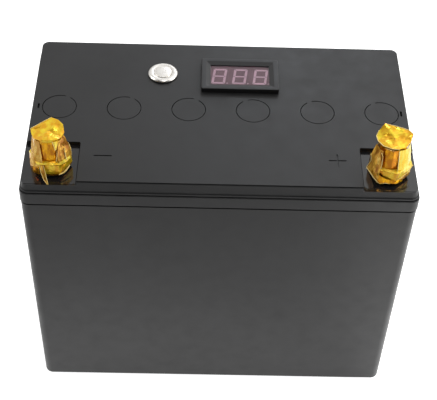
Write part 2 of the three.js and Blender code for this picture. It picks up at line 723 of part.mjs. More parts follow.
function cellPack() {
  const parts = [];
  for (let i = 0; i < CELL_COUNT; i += 1) parts.push(cell(i));
  for (let i = 0; i < CELL_COUNT - 1; i += 1) parts.push(separator(i), seriesBusbar(i));
  const packWidth = CELL_COUNT * CELL_PITCH - CELL_GAP;
  const strapShape = roundedRectangle(CELL_LENGTH + 1.6, packWidth + 1.6, 3.2);
  strapShape.holes.push(roundedRectangle(CELL_LENGTH + 0.6, packWidth + 0.6, 3));
  parts.push(
    endBusbar("positive", 0),
    endBusbar("negative", CELL_COUNT - 1),
    cellLug("positive", 0, -Math.PI / 2),
    cellLug("negative", CELL_COUNT - 1, Math.PI),
    piece("cell_strap", raise(strapShape, STRAP_BASE, STRAP_TOP, { steps: 2 }), strapTape),
  );
  const padInset = BAND_STEP + WALL + 1.5;
  const padX = LENGTH / 2 - padInset - DRAFT_X;
  const padY = WIDTH / 2 - padInset - DRAFT_Y;
  const pad = block(-padX, -padY, WALL + FIT, padX, padY, CELL_BASE - FIT);
  parts.push(piece("base_pad", pad, greyFoam));
  const foamInner = CELL_LENGTH / 2 + 1.4;
  for (const [name, side] of [["left", -1], ["right", 1]]) {
    const middle = (side * (foamInner + padX)) / 2;
    const half = (padX - foamInner) / 2;
    const back = END_FOAM_HALF_WIDTH;
    const foam = block(middle - half, -back, CELL_BASE, middle + half, back, END_FOAM_TOP);
    parts.push(piece(`end_foam_${name}`, foam, greyFoam));
  }
  return group(0, 0, 0, ...parts);
}

// ------------------------------------------------------------------ protection board
const SHEET_THICKNESS = 1;
const TRANSISTOR_HEIGHT = 2.2;
const BOARD = { x0: -50, x1: 34, y0: -44, y1: 6, base: SHEET_BASE + SHEET_THICKNESS + FIT };
const BOARD_TOP = BOARD.base + BOARD_THICKNESS;

function protectionBoard() {
  const sheetTop = SHEET_BASE + SHEET_THICKNESS;
  const sheet = block(BOARD.x0 - 2, -50, SHEET_BASE, BOARD.x1 + 2, BOARD.y1 + 1, sheetTop);
  let board = solid(block(BOARD.x0, BOARD.y0, BOARD.base, BOARD.x1, BOARD.y1, BOARD_TOP));
  const onBoard = (x0, y0, x1, y1, height) => {
    board = board.add(solid(block(x0, y0, BOARD_TOP - 0.5, x1, y1, BOARD_TOP + height)));
  };
  for (let i = 0; i < 6; i += 1) {
    const x = -44 + i * 11;
    onBoard(x, -40, x + 8, -31, TRANSISTOR_HEIGHT);
  }
  onBoard(-12, -6, 4, 4, 1.8);
  onBoard(6, 0, 26, 5, 5.5);
  const sinkBase = BOARD_TOP + TRANSISTOR_HEIGHT + FIT;
  const [sinkX0, sinkX1, finThickness, finPitch] = [-46, 24, 1.2, 3.4];
  let sink = solid(block(sinkX0, -43, sinkBase, sinkX1, -28, sinkBase + 2));
  for (let i = 0; i < 5; i += 1) {
    const y = -42.6 + i * finPitch;
    sink = sink.add(solid(block(sinkX0, y, sinkBase + 1, sinkX1, y + finThickness, sinkBase + 7)));
  }
  return group(
    0,
    0,
    0,
    piece("insulation_sheet", sheet, fibreSheet),
    piece("bms_board", board, boardGreen),
    piece("bms_heatsink", sink, aluminium),
  );
}

// ------------------------------------------------------------------ wiring
// The plug behind the board and the five sense wires that fan out from it to the busbars.
function balanceHarness() {
  const plugBack = BOARD.y1 + 5;
  const plugHeight = BOARD_TOP + 3;
  const landing = BUSBAR_TOP + WIRE_RADIUS + 2 * LOOSE;
  const near = POST_X - 6;
  const far = -POST_X - 5;
  const middle = CELL_PITCH / 2;
  const routes = [
    [[36, 14], [near - 5, -4], [near - 4, -24], [near, cellY(0)]],
    [[30, 17], [38, 15], [near, 10]],
    [[24, 20], [34, 34], [near, cellY(3)]],
    [[0, 16], [-30, 22], [far, middle + 4]],
    [[-10, 12], [far, 6], [far, -middle - 3]],
  ];
  let harness = solid(block(7, BOARD.y1 - 0.7, BOARD_TOP + 0.5, 25, plugBack, BOARD_TOP + 5));
  routes.forEach((route, index) => {
    const plugX = 23 - 3.5 * index;
    const run = route.map(([x, y]) => [x, y, landing]);
    const path = smoothPath([[plugX, plugBack - 2, plugHeight], [plugX, plugBack + 1, plugHeight], ...run]);
    harness = harness.add(solid(sweep(polygon(WIRE_RADIUS, 5), path, 14)));
  });
  return piece("balance_harness", harness, whiteInsulation);
}

function wiring() {
  const cable = polygon(CABLE_RADIUS, 8);
  const wire = polygon(WIRE_RADIUS, 6);
  const lugAxis = CORNER_FLOOR - CORNER_BOSS - 2 * FIT - WASHER_THICKNESS - LUG_AXIS;
  const barrelIn = TERMINAL_Y + LUG_REACH + 3;
  const cellAxis = BUSBAR_TOP + LOOSE + LUG_AXIS;
  const onBoard = BOARD_TOP + CABLE_RADIUS + LOOSE;
  const meterBack = LID_TOP - 16;
  const positive = smoothPath([
    [TERMINAL_X, barrelIn, lugAxis],
    [TERMINAL_X, -22, lugAxis],
    [TERMINAL_X, -12, lugAxis - 2],
    [TERMINAL_X - 1, -4, lugAxis - 9],
    [TERMINAL_X - 2, -6, lugAxis - 18],
    [TERMINAL_X - 3, -20, cellAxis + 3],
    [TERMINAL_X - 6, -34, cellAxis],
    [BOLT_X + 30, cellY(0) + 1, cellAxis],
    [BOLT_X + 22, cellY(0), cellAxis],
    [BOLT_X + LUG_REACH + 3, cellY(0), cellAxis],
  ]);
  const load = smoothPath([
    [-TERMINAL_X, barrelIn, lugAxis],
    [-TERMINAL_X, -22, lugAxis],
    [-TERMINAL_X, -12, lugAxis - 2],
    [-TERMINAL_X + 1, -4, lugAxis - 8],
    [-TERMINAL_X + 9, 0, onBoard + 4],
    [-TERMINAL_X + 20, -8, onBoard],
    [BOARD.x0 - 6, -18, onBoard],
    [BOARD.x0 + 6, -20, onBoard],
  ]);
  const lastCell = cellY(CELL_COUNT - 1);
  const cellCable = smoothPath([
    [BOLT_X, lastCell - LUG_REACH - 3, cellAxis],
    [BOLT_X, lastCell - 22, cellAxis],
    [BOLT_X, lastCell - 28, cellAxis],
    [BOLT_X - 3, lastCell - 37, cellAxis + 2],
    [BOLT_X - 10, lastCell - 46, onBoard + 1],
    [BOARD.x1 + 6, -8, onBoard],
    [BOARD.x1 - 6, -10, onBoard],
  ]);
  const pinLow = LID_TOP - BUTTON_BODY_DEPTH - 11;
  const meterToButton = smoothPath([
    [METER_X - 16, METER_Y, meterBack - 1],
    [METER_X - 22, METER_Y, pinLow - 5],
    [BUTTON_X + 9, BUTTON_Y, pinLow - 6],
    [BUTTON_X + 3, BUTTON_Y, pinLow - 1.5],
  ]);
  const buttonToPositive = smoothPath([
    [BUTTON_X - 3, BUTTON_Y, pinLow - 1.5],
    [BUTTON_X - 4, BUTTON_Y + 8, pinLow - 6],
    [0, 48, pinLow - 7],
    [60, 46, pinLow - 6],
    [84, 20, pinLow - 8],
    [78, -18, pinLow - 8],
    [BOLT_X + 12, -30, cellAxis + 6],
  ]);
  const meterNegative = smoothPath([
    [METER_X + 2, METER_Y - 4, meterBack - 1],
    [METER_X + 2, METER_Y - 8, pinLow - 3],
    [METER_X - 8, 14, pinLow - 6],
    [METER_X - 18, 8, BOARD_TOP + 4],
    [METER_X - 18, 2, BOARD_TOP + WIRE_RADIUS + 1.9],
  ]);
  return group(
    0,
    0,
    0,
    piece("positive_cable", sweep(cable, positive, 26), redSilicone),
    piece("load_cable", sweep(cable, load, 22), blackSilicone),
    piece("cell_cable", sweep(cable, cellCable, 16), blackSilicone),
    piece("meter_button_wire", sweep(wire, meterToButton, 14), redSilicone),
    piece("button_positive_wire", sweep(wire, buttonToPositive, 24), redSilicone),
    piece("meter_negative_wire", sweep(wire, meterNegative, 16), blackSilicone),
    balanceHarness(),
  );
}

// ------------------------------------------------------------------ the battery
const battery = new THREE.Group();
battery.name = "battery";
battery.add(caseBox(), lid());
for (let i = 0; i < VENT_COUNT; i += 1) battery.add(ventCap(i));
battery.add(
  terminal(-1, "negative", { footRadius: 8.6, tipRadius: 7.6, hexTurn: 30 }),
  terminal(1, "positive", { footRadius: 9, tipRadius: 8, hexTurn: 12 }),
  pushButton(),
  voltmeter(),
  cellPack(),
  protectionBoard(),
  wiring(),
);

export default battery;
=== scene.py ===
import math
import random

import bmesh
import bpy
from mathutils import Matrix, Vector, noise


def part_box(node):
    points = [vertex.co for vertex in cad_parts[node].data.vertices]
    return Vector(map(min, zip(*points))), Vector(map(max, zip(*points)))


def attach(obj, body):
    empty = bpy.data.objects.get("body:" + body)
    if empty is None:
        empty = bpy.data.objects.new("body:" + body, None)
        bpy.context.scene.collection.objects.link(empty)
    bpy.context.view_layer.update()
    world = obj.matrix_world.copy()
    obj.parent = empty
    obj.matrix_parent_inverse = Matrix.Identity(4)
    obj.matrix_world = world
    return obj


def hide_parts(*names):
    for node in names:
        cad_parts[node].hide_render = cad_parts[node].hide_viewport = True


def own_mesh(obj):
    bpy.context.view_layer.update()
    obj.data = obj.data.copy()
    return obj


# Looks for a sealed deep cycle battery: a black moulded case and lid, two brass terminals wrapped
# in amber film, a steel push button and a panel voltmeter whose display is off.
# Shapes are worked out in millimetres, in the frame of the CAD model, and made in metres.

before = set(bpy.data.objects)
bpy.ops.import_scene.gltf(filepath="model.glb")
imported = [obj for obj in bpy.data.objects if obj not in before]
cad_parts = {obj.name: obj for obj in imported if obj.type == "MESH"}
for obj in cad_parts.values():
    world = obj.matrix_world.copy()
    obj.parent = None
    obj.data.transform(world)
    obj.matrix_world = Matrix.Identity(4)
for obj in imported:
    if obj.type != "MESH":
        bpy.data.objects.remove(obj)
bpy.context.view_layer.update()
MM = 0.001
SMOOTH_ANGLE = 35  # faces that meet at less than this many degrees are shaded as one surface

# ------------ dimensions from the frame


def box_mm(node):
    """A CAD node's lowest and highest corners in millimetres."""
    low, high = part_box(node)
    return low / MM, high / MM


def middle_mm(node, z):
    """The middle of a CAD node, seen from above, at a height in millimetres."""
    low, high = box_mm(node)
    return (low.x + high.x) / 2, (low.y + high.y) / 2, z


CASE_HIGH = box_mm("case_box")[1]
LID_LOW, LID_HIGH = box_mm("lid")
METER_LOW, METER_HIGH = box_mm("voltmeter_bezel")
HALF_X = CASE_HIGH.x
HALF_Y = CASE_HIGH.y
SEAM = CASE_HIGH.z
LID_TOP = LID_HIGH.z

BAND_HEIGHT = 8.2
BAND_STEP = 0.3
DRAFT_X = 2.3
DRAFT_Y = 1.9
WALL = 3.0
CORNER = 5.0
SEAM_GAP = 0.3
LIP_HEIGHT = 1.4
LIP_INSET = 0.6
SKIRT_INSET = 1.9
POCKET_X = 82.0  # the lowered corners' inner sides
POCKET_Y = -30.1  # and their rear sides
POCKET_FLOOR = LID_TOP - 2.7
FRONT_EDGE = SKIRT_INSET - HALF_Y
FRONT_LINE = (FRONT_EDGE + 0.3, FRONT_EDGE + 0.65)  # the fine line along the lid's front edge
TONGUE_INSET = BAND_STEP + WALL + 0.5

# ------------ meshes


def new_object(name, data):
    """A new object in the scene, with a mesh, camera or light as its data."""
    obj = bpy.data.objects.new(name, data)
    bpy.context.scene.collection.objects.link(obj)
    return obj


def mesh_object(name, points, faces, smooth_angle=SMOOTH_ANGLE):
    """A new object from points in millimetres, shaded smooth up to an angle in degrees."""
    mesh = bpy.data.meshes.new(name)
    mesh.from_pydata([Vector(p) * MM for p in points], [], faces)
    mesh.update()
    obj = new_object(name, mesh)
    shade(obj, smooth_angle)
    return obj


def shade(obj, smooth_angle):
    obj.data.shade_smooth()
    obj.data.set_sharp_from_angle(angle=math.radians(smooth_angle))


def rounded_rectangle(half_x, half_y, radius, z, steps=8, centre=(0, 0)):
    """The points of a rounded rectangle at one height, anticlockwise from its +X side."""
    points = []
    for quarter in range(4):
        x = centre[0] + (half_x - radius) * (1 if quarter in (0, 3) else -1)
        y = centre[1] + (half_y - radius) * (1 if quarter in (0, 1) else -1)
        for step in range(steps + 1):
            angle = math.pi / 2 * (quarter + step / max(steps, 1))
            points.append((x + radius * math.cos(angle), y + radius * math.sin(angle), z))
    return points


def skin(loops, closed=False, first=0):
    """Faces over loops of points that are numbered from first, loop after loop.

    The skin is capped at both ends, or closes on itself like a ring.
    """
    rows = [range(first + i * len(loop), first + (i + 1) * len(loop)) for i, loop in enumerate(loops)]
    faces = []
    for row, upper in zip(rows, rows[1:] + rows[:1] if closed else rows[1:]):
        for k in range(len(row)):
            faces.append((row[k - 1], row[k], upper[k], upper[k - 1]))
    return faces if closed else [*faces, tuple(reversed(rows[0])), tuple(rows[-1])]


def loft(name, loops, closed=False, smooth_angle=SMOOTH_ANGLE):
    """An object whose surface is a skin over loops of points."""
    points = [p for loop in loops for p in loop]
    return mesh_object(name, points, skin(loops, closed), smooth_angle)


def fillet(inset, z, radius, start, steps):
    """Insets and heights round a quarter circle, from start degrees to start + 90 degrees.

    The circle's centre is at inset and z; an angle of 0 points outwards and 90 points up.
    """
    made = []
    for step in range(steps + 1):
        angle = math.radians(start + 90 * step / steps)
        made.append((inset - radius * math.cos(angle), z + radius * math.sin(angle)))
    return made


def turned(name, profile, sides, centre, smooth_angle=SMOOTH_ANGLE):
    """A turned piece about Z from a profile of (radius, height) that starts and ends on the axis,
    or closes on itself."""
    on_axis = profile[0][0] == 0
    angles = [2 * math.pi * i / sides for i in range(sides)]
    loops = [
        [
            (centre[0] + radius * math.cos(a), centre[1] + radius * math.sin(a), centre[2] + height)
            for a in angles
        ]
        for radius, height in (profile[1:-1] if on_axis else profile)
    ]
    return loft(name, loops, not on_axis, smooth_angle)


def settle(obj):
    """Applies an object's modifiers to its mesh."""
    graph = bpy.context.evaluated_depsgraph_get()
    graph.update()
    mesh = bpy.data.meshes.new_from_object(obj.evaluated_get(graph))
    obj.modifiers.clear()
    obj.data = mesh


def combine(obj, others, operation):
    """Joins the others to obj, or cuts them from it, and removes them."""
    for other in others:
        modifier = obj.modifiers.new(operation.lower(), "BOOLEAN")
        modifier.operation = operation
        modifier.solver = "EXACT"
        modifier.object = other
    settle(obj)
    for other in others:
        bpy.data.objects.remove(other)


def weigh_normals(obj):
    """Keeps flat faces flat in the shading beside narrow rounded ones."""
    obj.modifiers.new("normals", "WEIGHTED_NORMAL").keep_sharp = True
    settle(obj)


def ease_edges(obj, width, segments, angle):
    """Adds a rounding of the edges that turn by more than an angle in degrees."""
    bevel = obj.modifiers.new("edges", "BEVEL")
    bevel.width = width * MM
    bevel.segments = segments
    bevel.limit_method = "ANGLE"
    bevel.angle_limit = math.radians(angle)


def soften(obj, width, segments=2, angle=40):
    """Rounds the sharp edges that are left."""
    ease_edges(obj, width, segments, angle)
    settle(obj)
    shade(obj, SMOOTH_ANGLE)
    weigh_normals(obj)


def block(name, low, high, radius=0.0):
    """A box from corner to corner in millimetres, with rounded upright edges if radius is given."""
    centre = ((low[0] + high[0]) / 2, (low[1] + high[1]) / 2)
    half = ((high[0] - low[0]) / 2, (high[1] - low[1]) / 2)
    steps = 5 if radius else 0
    return loft(name, [rounded_rectangle(*half, radius, z, steps, centre) for z in (low[2], high[2])])


def eased_box(name, node, radius, width, segments=2, inset=0.0):
    """A box in the place of a CAD node, with rounded upright edges and every edge eased."""
    low, high = box_mm(node)
    margin = Vector((inset, inset, inset))
    obj = block(name, low + margin, high - margin, radius)
    soften(obj, width, segments)
    return obj


def finish_piece(obj, look=None, body="battery", replaces=()):
    """Gives a piece its look and the body that it moves with, and hides the CAD nodes that it stands
    for.
    """
    if look:
        obj.data.materials.clear()
        obj.data.materials.append(look)
    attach(obj, body)
    if replaces:
        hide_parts(*replaces)


# ------------ materials


def map_range(tree, source, start, end, low, high, smooth=True):
    """Maps source from start..end to low..high in a node tree."""
    mapped = tree.nodes.new("ShaderNodeMapRange")
    if smooth:
        mapped.interpolation_type = "SMOOTHSTEP"
    for key, value in (("From Min", start), ("From Max", end), ("To Min", low), ("To Max", high)):
        mapped.inputs[key].default_value = value
    tree.links.new(source, mapped.inputs["Value"])
    return mapped.outputs["Result"]


def mixed(tree, operation, first, second):
    """The result of a sum, product or maximum of two sockets."""
    step = tree.nodes.new("ShaderNodeMath")
    step.operation = operation
    tree.links.new(first, step.inputs[0])
    tree.links.new(second, step.inputs[1])
    return step.outputs["Value"]


class Look:
    """A Principled material with procedural detail added by its methods."""

    def __init__(self, name, colour, roughness, metallic=0.0, **sockets):
        self.material = bpy.data.materials.new(name)
        self.material.use_nodes = True
        self.tree = self.material.node_tree
        self.shader = self.tree.nodes["Principled BSDF"]
        self.shader.inputs["Base Color"].default_value = (*colour, 1)
        self.shader.inputs["Roughness"].default_value = roughness
        self.shader.inputs["Metallic"].default_value = metallic
        for socket, value in sockets.items():
            self.shader.inputs[socket.replace("_", " ")].default_value = value
        self.place = self.node("ShaderNodeTexCoord").outputs["Object"]
        self.surface = None

    def node(self, kind):
        return self.tree.nodes.new(kind)

    def link(self, source, target):
        self.tree.links.new(source, target)

    def noise(self, size, detail, stretch=(1, 1, 1)):
        """Noise whose lumps are about size millimetres across. These three are a grain."""
        mapping = self.node("ShaderNodeMapping")
        mapping.inputs["Scale"].default_value = [s / (size * MM) for s in stretch]
        self.link(self.place, mapping.inputs["Vector"])
        texture = self.node("ShaderNodeTexNoise")
        texture.inputs["Scale"].default_value = 1.0
        texture.inputs["Detail"].default_value = detail
        self.link(mapping.outputs["Vector"], texture.inputs["Vector"])
        return texture.outputs["Fac"]

    def span(self, source, low, high, start=0.3, end=0.7):
        return map_range(self.tree, source, start, end, low, high, smooth=False)

    def colours(self, grain, low, high, start=0.3, end=0.7):
        """Runs the base colour from low to high as noise of one grain goes from start to end."""
        ramp = self.node("ShaderNodeValToRGB")
        for stop, position, colour in zip(ramp.color_ramp.elements, (start, end), (low, high)):
            stop.position = position
            stop.color = (*colour, 1)
        self.link(self.noise(*grain), ramp.inputs["Fac"])
        self.link(ramp.outputs["Color"], self.shader.inputs["Base Color"])

    def roughness(self, grain, low, high):
        self.link(self.span(self.noise(*grain), low, high), self.shader.inputs["Roughness"])

    def bump(self, grain, height, strength=1.0):
        """Adds relief of a height in millimetres on top of any added before."""
        relief = self.node("ShaderNodeBump")
        relief.inputs["Distance"].default_value = height * MM
        relief.inputs["Strength"].default_value = strength
        self.link(self.noise(*grain), relief.inputs["Height"])
        if self.surface:
            self.link(self.surface, relief.inputs["Normal"])
        self.surface = relief.outputs["Normal"]
        self.link(self.surface, self.shader.inputs["Normal"])


def black_abs():
    """Moulded ABS: a fine grain, slow changes of tone and faint flow marks."""
    look = Look("moulded_abs", (0.01, 0.01, 0.0105), 0.42, IOR=1.5)
    look.colours((42, 4), (0.007, 0.007, 0.0073), (0.012, 0.012, 0.0125))
    look.roughness((9, 5), 0.36, 0.48)
    look.bump((30, 2, (1, 1, 0.4)), 0.1, 0.6)
    look.bump((0.45, 2), 0.012)
    return look.material


def pocket_abs():
    """The smoother lowered corners of the lid."""
    look = Look("smooth_abs", (0.01, 0.01, 0.011), 0.12, IOR=1.6)
    look.roughness((6, 4), 0.08, 0.16)
    look.bump((14, 2), 0.05)
    return look.material


def bezel_plastic():
    look = Look("bezel_plastic", (0.012, 0.012, 0.013), 0.38, IOR=1.5)
    look.roughness((5, 4), 0.33, 0.45)
    look.bump((0.35, 2), 0.008)
    return look.material


def brass():
    look = Look("machined_brass", (0.86, 0.58, 0.24), 0.26, 1.0)
    look.colours((7, 4), (0.78, 0.55, 0.24), (0.92, 0.74, 0.42))
    look.roughness((3, 5), 0.18, 0.36)
    look.bump((0.9, 3, (1, 1, 6)), 0.02)
    return look.material


def film_over_brass(name, low, high, metallic):
    """Clear amber film drawn tight over brass: a deep yellow mirror under a glossy skin."""
    look = Look(name, high, 0.16, metallic, Coat_Weight=0.2, Coat_Roughness=0.05)
    look.colours((3.4, 4, (1, 1, 0.45)), low, high, 0.4, 0.62)
    look.roughness((2.2, 4), 0.08, 0.24)
    look.bump((2.6, 3, (1, 1, 0.5)), 0.16)
    return look.material


def loose_film():
    """The same film standing free: it colours what is behind it and shines along its creases."""
    look = Look("loose_film", (1.0, 0.5, 0.05), 0.1, 0.4, IOR=1.5, Transmission_Weight=0.25)
    look.colours((2, 3, (1, 1, 0.25)), (0.42, 0.14, 0.001), (1.0, 0.56, 0.06), 0.38, 0.64)
    look.roughness((3, 4), 0.05, 0.16)
    look.bump((2.4, 3), 0.05)
    return look.material


def film_with_painted_light(name, low, high):
    """Film given a lighter colour than the film on the brass, as painted light: the glow of light
    through loose film, and highlights on folds and ridges.
    """
    look = Look(name, high, 0.24, 0.3)
    look.colours((1.8, 4, (1, 1, 0.22)), low, high, 0.4, 0.6)
    look.roughness((3, 4), 0.16, 0.32)
    look.bump((1.8, 3, (1, 1, 0.22)), 0.12)
    return look.material


def film_edge_highlight():
    """A cut edge or a sharp fold, painted pale: a painted highlight."""
    look = Look("film_edge_highlight", (0.85, 0.7, 0.36), 0.2)
    look.colours((2.5, 3), (0.85, 0.56, 0.1), (1.0, 0.86, 0.42))
    look.roughness((2, 3), 0.12, 0.3)
    return look.material


def satin_steel():
    look = Look("satin_steel", (0.87, 0.84, 0.79), 0.3, 1.0)
    look.roughness((1.2, 4), 0.24, 0.38)
    look.bump((0.35, 2), 0.006)
    return look.material


def metal(name, low, high, rough_low, rough_high):
    look = Look(name, high, rough_high, 1.0)
    look.colours((6, 4), low, high)
    look.roughness((2.5, 4), rough_low, rough_high)
    look.bump((0.8, 3), 0.02)
    return look.material


def plastic(name, low, high, rough_low, rough_high, grain=0.8, height=0.02):
    look = Look(name, high, rough_high)
    look.colours((8, 4), low, high)
    look.roughness((4, 4), rough_low, rough_high)
    look.bump((grain, 3), height)
    return look.material


def window():
    look = Look("tinted_window", (0.86, 0.74, 0.78), 0.04, IOR=1.49, Transmission_Weight=1.0)
    look.bump((9, 2), 0.01)
    return look.material


def board():
    look = Look("solder_mask", (0.02, 0.13, 0.05), 0.3)
    look.colours((1.6, 5), (0.012, 0.09, 0.03), (0.03, 0.17, 0.07), 0.42, 0.58)
    look.roughness((1.1, 3), 0.22, 0.42)
    look.bump((1.3, 3), 0.04)
    return look.material


# ------------ camera and studio
# Angles in degrees, lengths in millimetres. The studio's own places are in metres.
VIEW_AZIMUTH = -1.717
VIEW_ELEVATION = 45.921
VIEW_ROLL = 2.45
VIEW_DISTANCE = 774.6
VIEW_TARGET = Vector((1.144, 0, 106.9))
LENS = 97.69
SENSOR = 36.0


def camera():
    azimuth, elevation, roll = (math.radians(a) for a in (VIEW_AZIMUTH, VIEW_ELEVATION, VIEW_ROLL))
    back = Vector((
        math.sin(azimuth) * math.cos(elevation),
        -math.cos(azimuth) * math.cos(elevation),
        math.sin(elevation),
    ))
    level = Vector((0, 0, 1)).cross(back).normalized()
    upright = back.cross(level)
    right = level * math.cos(roll) + upright * math.sin(roll)
    up = upright * math.cos(roll) - level * math.sin(roll)
    data = bpy.data.cameras.new("camera")
    data.lens = LENS
    data.sensor_width = SENSOR
    data.clip_start = 0.01
    data.clip_end = 50
    obj = new_object("camera", data)
    turn = Matrix((right, up, back)).transposed().to_4x4()
    obj.matrix_world = Matrix.Translation((VIEW_TARGET + back * VIEW_DISTANCE) * MM) @ turn
    bpy.context.scene.camera = obj


def area_light(name, place, size, power, target=(0, 0, 0.1), colour=(1, 1, 1)):
    """A soft box at a place, turned to a target."""
    data = bpy.data.lights.new(name, "AREA")
    data.shape = "RECTANGLE"
    data.size, data.size_y = size
    data.energy = power
    data.color = colour
    obj = new_object(name, data)
    obj.location = place
    obj.rotation_euler = (Vector(place) - Vector(target)).to_track_quat("Z", "Y").to_euler()


def surroundings():
    """A white tent, brighter to the right, and open and dark on the side of the camera."""
    world = bpy.data.worlds.new("studio")
    bpy.context.scene.world = world
    world.use_nodes = True
    tree = world.node_tree
    background = tree.nodes["Background"]
    background.inputs["Color"].default_value = (1, 1, 1, 1)
    place = tree.nodes.new("ShaderNodeTexCoord").outputs["Generated"]
    facing = tree.nodes.new("ShaderNodeVectorMath")
    facing.operation = "DOT_PRODUCT"
    facing.inputs[1].default_value = Vector((0, -1, 0.35)).normalized()
    tree.links.new(place, facing.inputs[0])
    across = tree.nodes.new("ShaderNodeSeparateXYZ")
    tree.links.new(place, across.inputs[0])
    level = map_range(tree, facing.outputs["Value"], 0.15, 0.75, 0.95, 0.06)
    side = map_range(tree, across.outputs["X"], 0.03, 0.17, 0.8, 1.5)
    tree.links.new(mixed(tree, "MULTIPLY", level, side), background.inputs["Strength"])


def paper_floor():
    """White paper with painted light: it glows where the object stands and in a pool in front of its
    right corner.
    """
    half = 6.0 / MM
    corners = [(-half, -half, 0), (half, -half, 0), (half, half, 0), (-half, half, 0)]
    floor = mesh_object("floor", corners, [(0, 1, 2, 3)])
    paper = Look("paper", (0.8, 0.8, 0.8), 0.8)
    paper.bump((3, 2), 0.01)
    tree = paper.tree
    distance = paper.node("ShaderNodeVectorMath")
    distance.operation = "DISTANCE"
    distance.inputs[1].default_value = (0, 0.17, 0)
    paper.link(paper.place, distance.inputs[0])
    axes = paper.node("ShaderNodeSeparateXYZ")
    paper.link(paper.place, axes.inputs[0])
    x, y = axes.outputs["X"], axes.outputs["Y"]

    glow = map_range(tree, distance.outputs["Value"], 0.26, 0.43, 0.85, 0.0)
    left = paper.span(x, 1.05, 0.75, -0.13, -0.02)
    right = paper.span(x, 0.75, 1.15, 0.04, 0.13)
    near = paper.span(y, 0.75, 1.0, -0.14, -0.1)
    most = mixed(tree, "MAXIMUM", mixed(tree, "MAXIMUM", near, left), right)

    corner = paper.span(x, 0.0, 0.85, 0.09, 0.16)
    reach = paper.span(y, 0.0, 1.0, -0.5, -0.4)
    fade = paper.span(y, 1.0, 0.0, -0.05, 0.1)
    pool = mixed(tree, "MULTIPLY", corner, mixed(tree, "MULTIPLY", reach, fade))

    # painted light: the paper's emission, a glow round the object and a pool in front of its right
    # corner
    strength = mixed(tree, "ADD", mixed(tree, "MULTIPLY", most, glow), pool)
    paper.link(strength, paper.shader.inputs["Emission Strength"])
    paper.shader.inputs["Emission Color"].default_value = (1, 1, 1, 1)
    floor.data.materials.append(paper.material)


def studio():
    surroundings()
    area_light("left_box", (-0.75, 0.05, 0.75), (0.2, 0.3), 1.3)
    area_light("right_box", (0.8, -0.1, 0.75), (0.2, 0.3), 1.5)
    area_light("top_box", (0.05, -0.3, 1.05), (0.3, 0.16), 1.2)
    rear_target, cool_white = (0.04, 0.1, 0.185), (0.8, 0.88, 1)
    area_light("rear_box", (0.14, 0.93, 0.81), (0.24, 0.06), 0.42, rear_target, cool_white)
    paper_floor()
    view = bpy.context.scene.view_settings
    view.view_transform = "Standard"
    view.look = "None"


# ------------ case and lid
def case_shell(look):
    """The box: rounded base, sides that lean out a little, and a band at the top above a groove."""
    band_base = SEAM - BAND_HEIGHT
    base_radius, groove_depth = 1.5, 0.8
    loops = []

    def add(inset, z, radius=CORNER):
        share = max(0.0, 1 - z / band_base)
        half_x = HALF_X - BAND_STEP - DRAFT_X * share
        half_y = HALF_Y - BAND_STEP - DRAFT_Y * share
        loops.append(rounded_rectangle(half_x - inset, half_y - inset, radius, z))

    for inset, z in fillet(base_radius, base_radius, base_radius, -90, 5):
        add(inset, z, CORNER - 0.4 * inset)
    for z in (40, 90, 130, band_base - 1.05):
        add(0, z)
    for inset, z in (
        (0.06, band_base - 0.93), (groove_depth, band_base - 0.9), (groove_depth, band_base + 0.1),
        *fillet(0.2 - BAND_STEP, band_base + 0.35, 0.2, -90, 3),
        *fillet(0.35 - BAND_STEP, SEAM - 0.35, 0.35, 0, 3),
    ):
        add(inset, z)
    add(WALL - 0.3, SEAM, CORNER - 1)
    add(WALL, SEAM - 0.4, CORNER - 1)
    add(WALL, WALL + 1.2, CORNER - 1)
    add(WALL + 1.2, WALL, CORNER - 2)
    obj = loft("case_shell", loops)
    weigh_normals(obj)
    finish_piece(obj, look, replaces=["case_box"])


def lid_body():
    """The lid before anything is cut: lip, skirt and top outside, tongue and hollow inside."""
    lip_base = SEAM + SEAM_GAP
    lip_top = lip_base + LIP_HEIGHT
    tongue_base = LID_LOW.z
    loops = []

    def add(inset, z, radius):
        loops.append(rounded_rectangle(HALF_X - inset, HALF_Y - inset, radius, z))

    add(TONGUE_INSET + 0.4, tongue_base, 3.6)
    add(TONGUE_INSET, tongue_base + 0.4, 4)
    add(TONGUE_INSET, lip_base, 4)
    for inset, z in (
        *fillet(LIP_INSET + 0.3, lip_base + 0.3, 0.3, -90, 3),
        *fillet(LIP_INSET + 0.2, lip_top - 0.2, 0.2, 0, 4),
    ):
        add(inset, z, CORNER)
    add(SKIRT_INSET - 0.8, lip_top, 4.3)
    add(SKIRT_INSET - 0.65, lip_top + 0.2, 4.2)
    for inset, z in fillet(SKIRT_INSET + 0.8, LID_TOP - 0.8, 0.8, 0, 5):
        add(inset, z, 4)
    outer = loft("lid_cover", loops)
    tongue_wall = 2.6
    hollow_x = HALF_X - TONGUE_INSET - tongue_wall
    hollow_y = HALF_Y - TONGUE_INSET - tongue_wall
    ends = [rounded_rectangle(hollow_x, hollow_y, 3, z) for z in (tongue_base - 1, LID_TOP - WALL)]
    combine(outer, [loft("hollow", ends)], "DIFFERENCE")
    return outer


def polarity_cuts():
    """The shallow bars of the minus and plus marks."""
    mark_x, mark_y, arm, half = 68.4, -41.3, 5.3, 0.45
    low, high = LID_TOP - 0.45, LID_TOP + 1

    def bar(x, reach_x, reach_y):
        return block(
            "mark", (x - reach_x, mark_y - reach_y, low), (x + reach_x, mark_y + reach_y, high), 0.4,
        )

    return [bar(-mark_x, arm, half), bar(mark_x, arm, half), bar(mark_x, half, arm)]


def mirrored_block(name, side, x_range, y_range, z_range, radius=0.0):
    """A block at x_range from the middle of the lid, on its left (-1) or on its right (1)."""
    low_x, high_x = sorted(side * x for x in x_range)
    return block(name, (low_x, y_range[0], z_range[0]), (high_x, y_range[1], z_range[1]), radius)


def drill(name, centre, radius, bottom, top, sides):
    """A round cutter from bottom to top, both measured from its centre's height."""
    return turned(name, [(0, bottom), (radius, bottom), (radius, top), (0, top)], sides, centre)


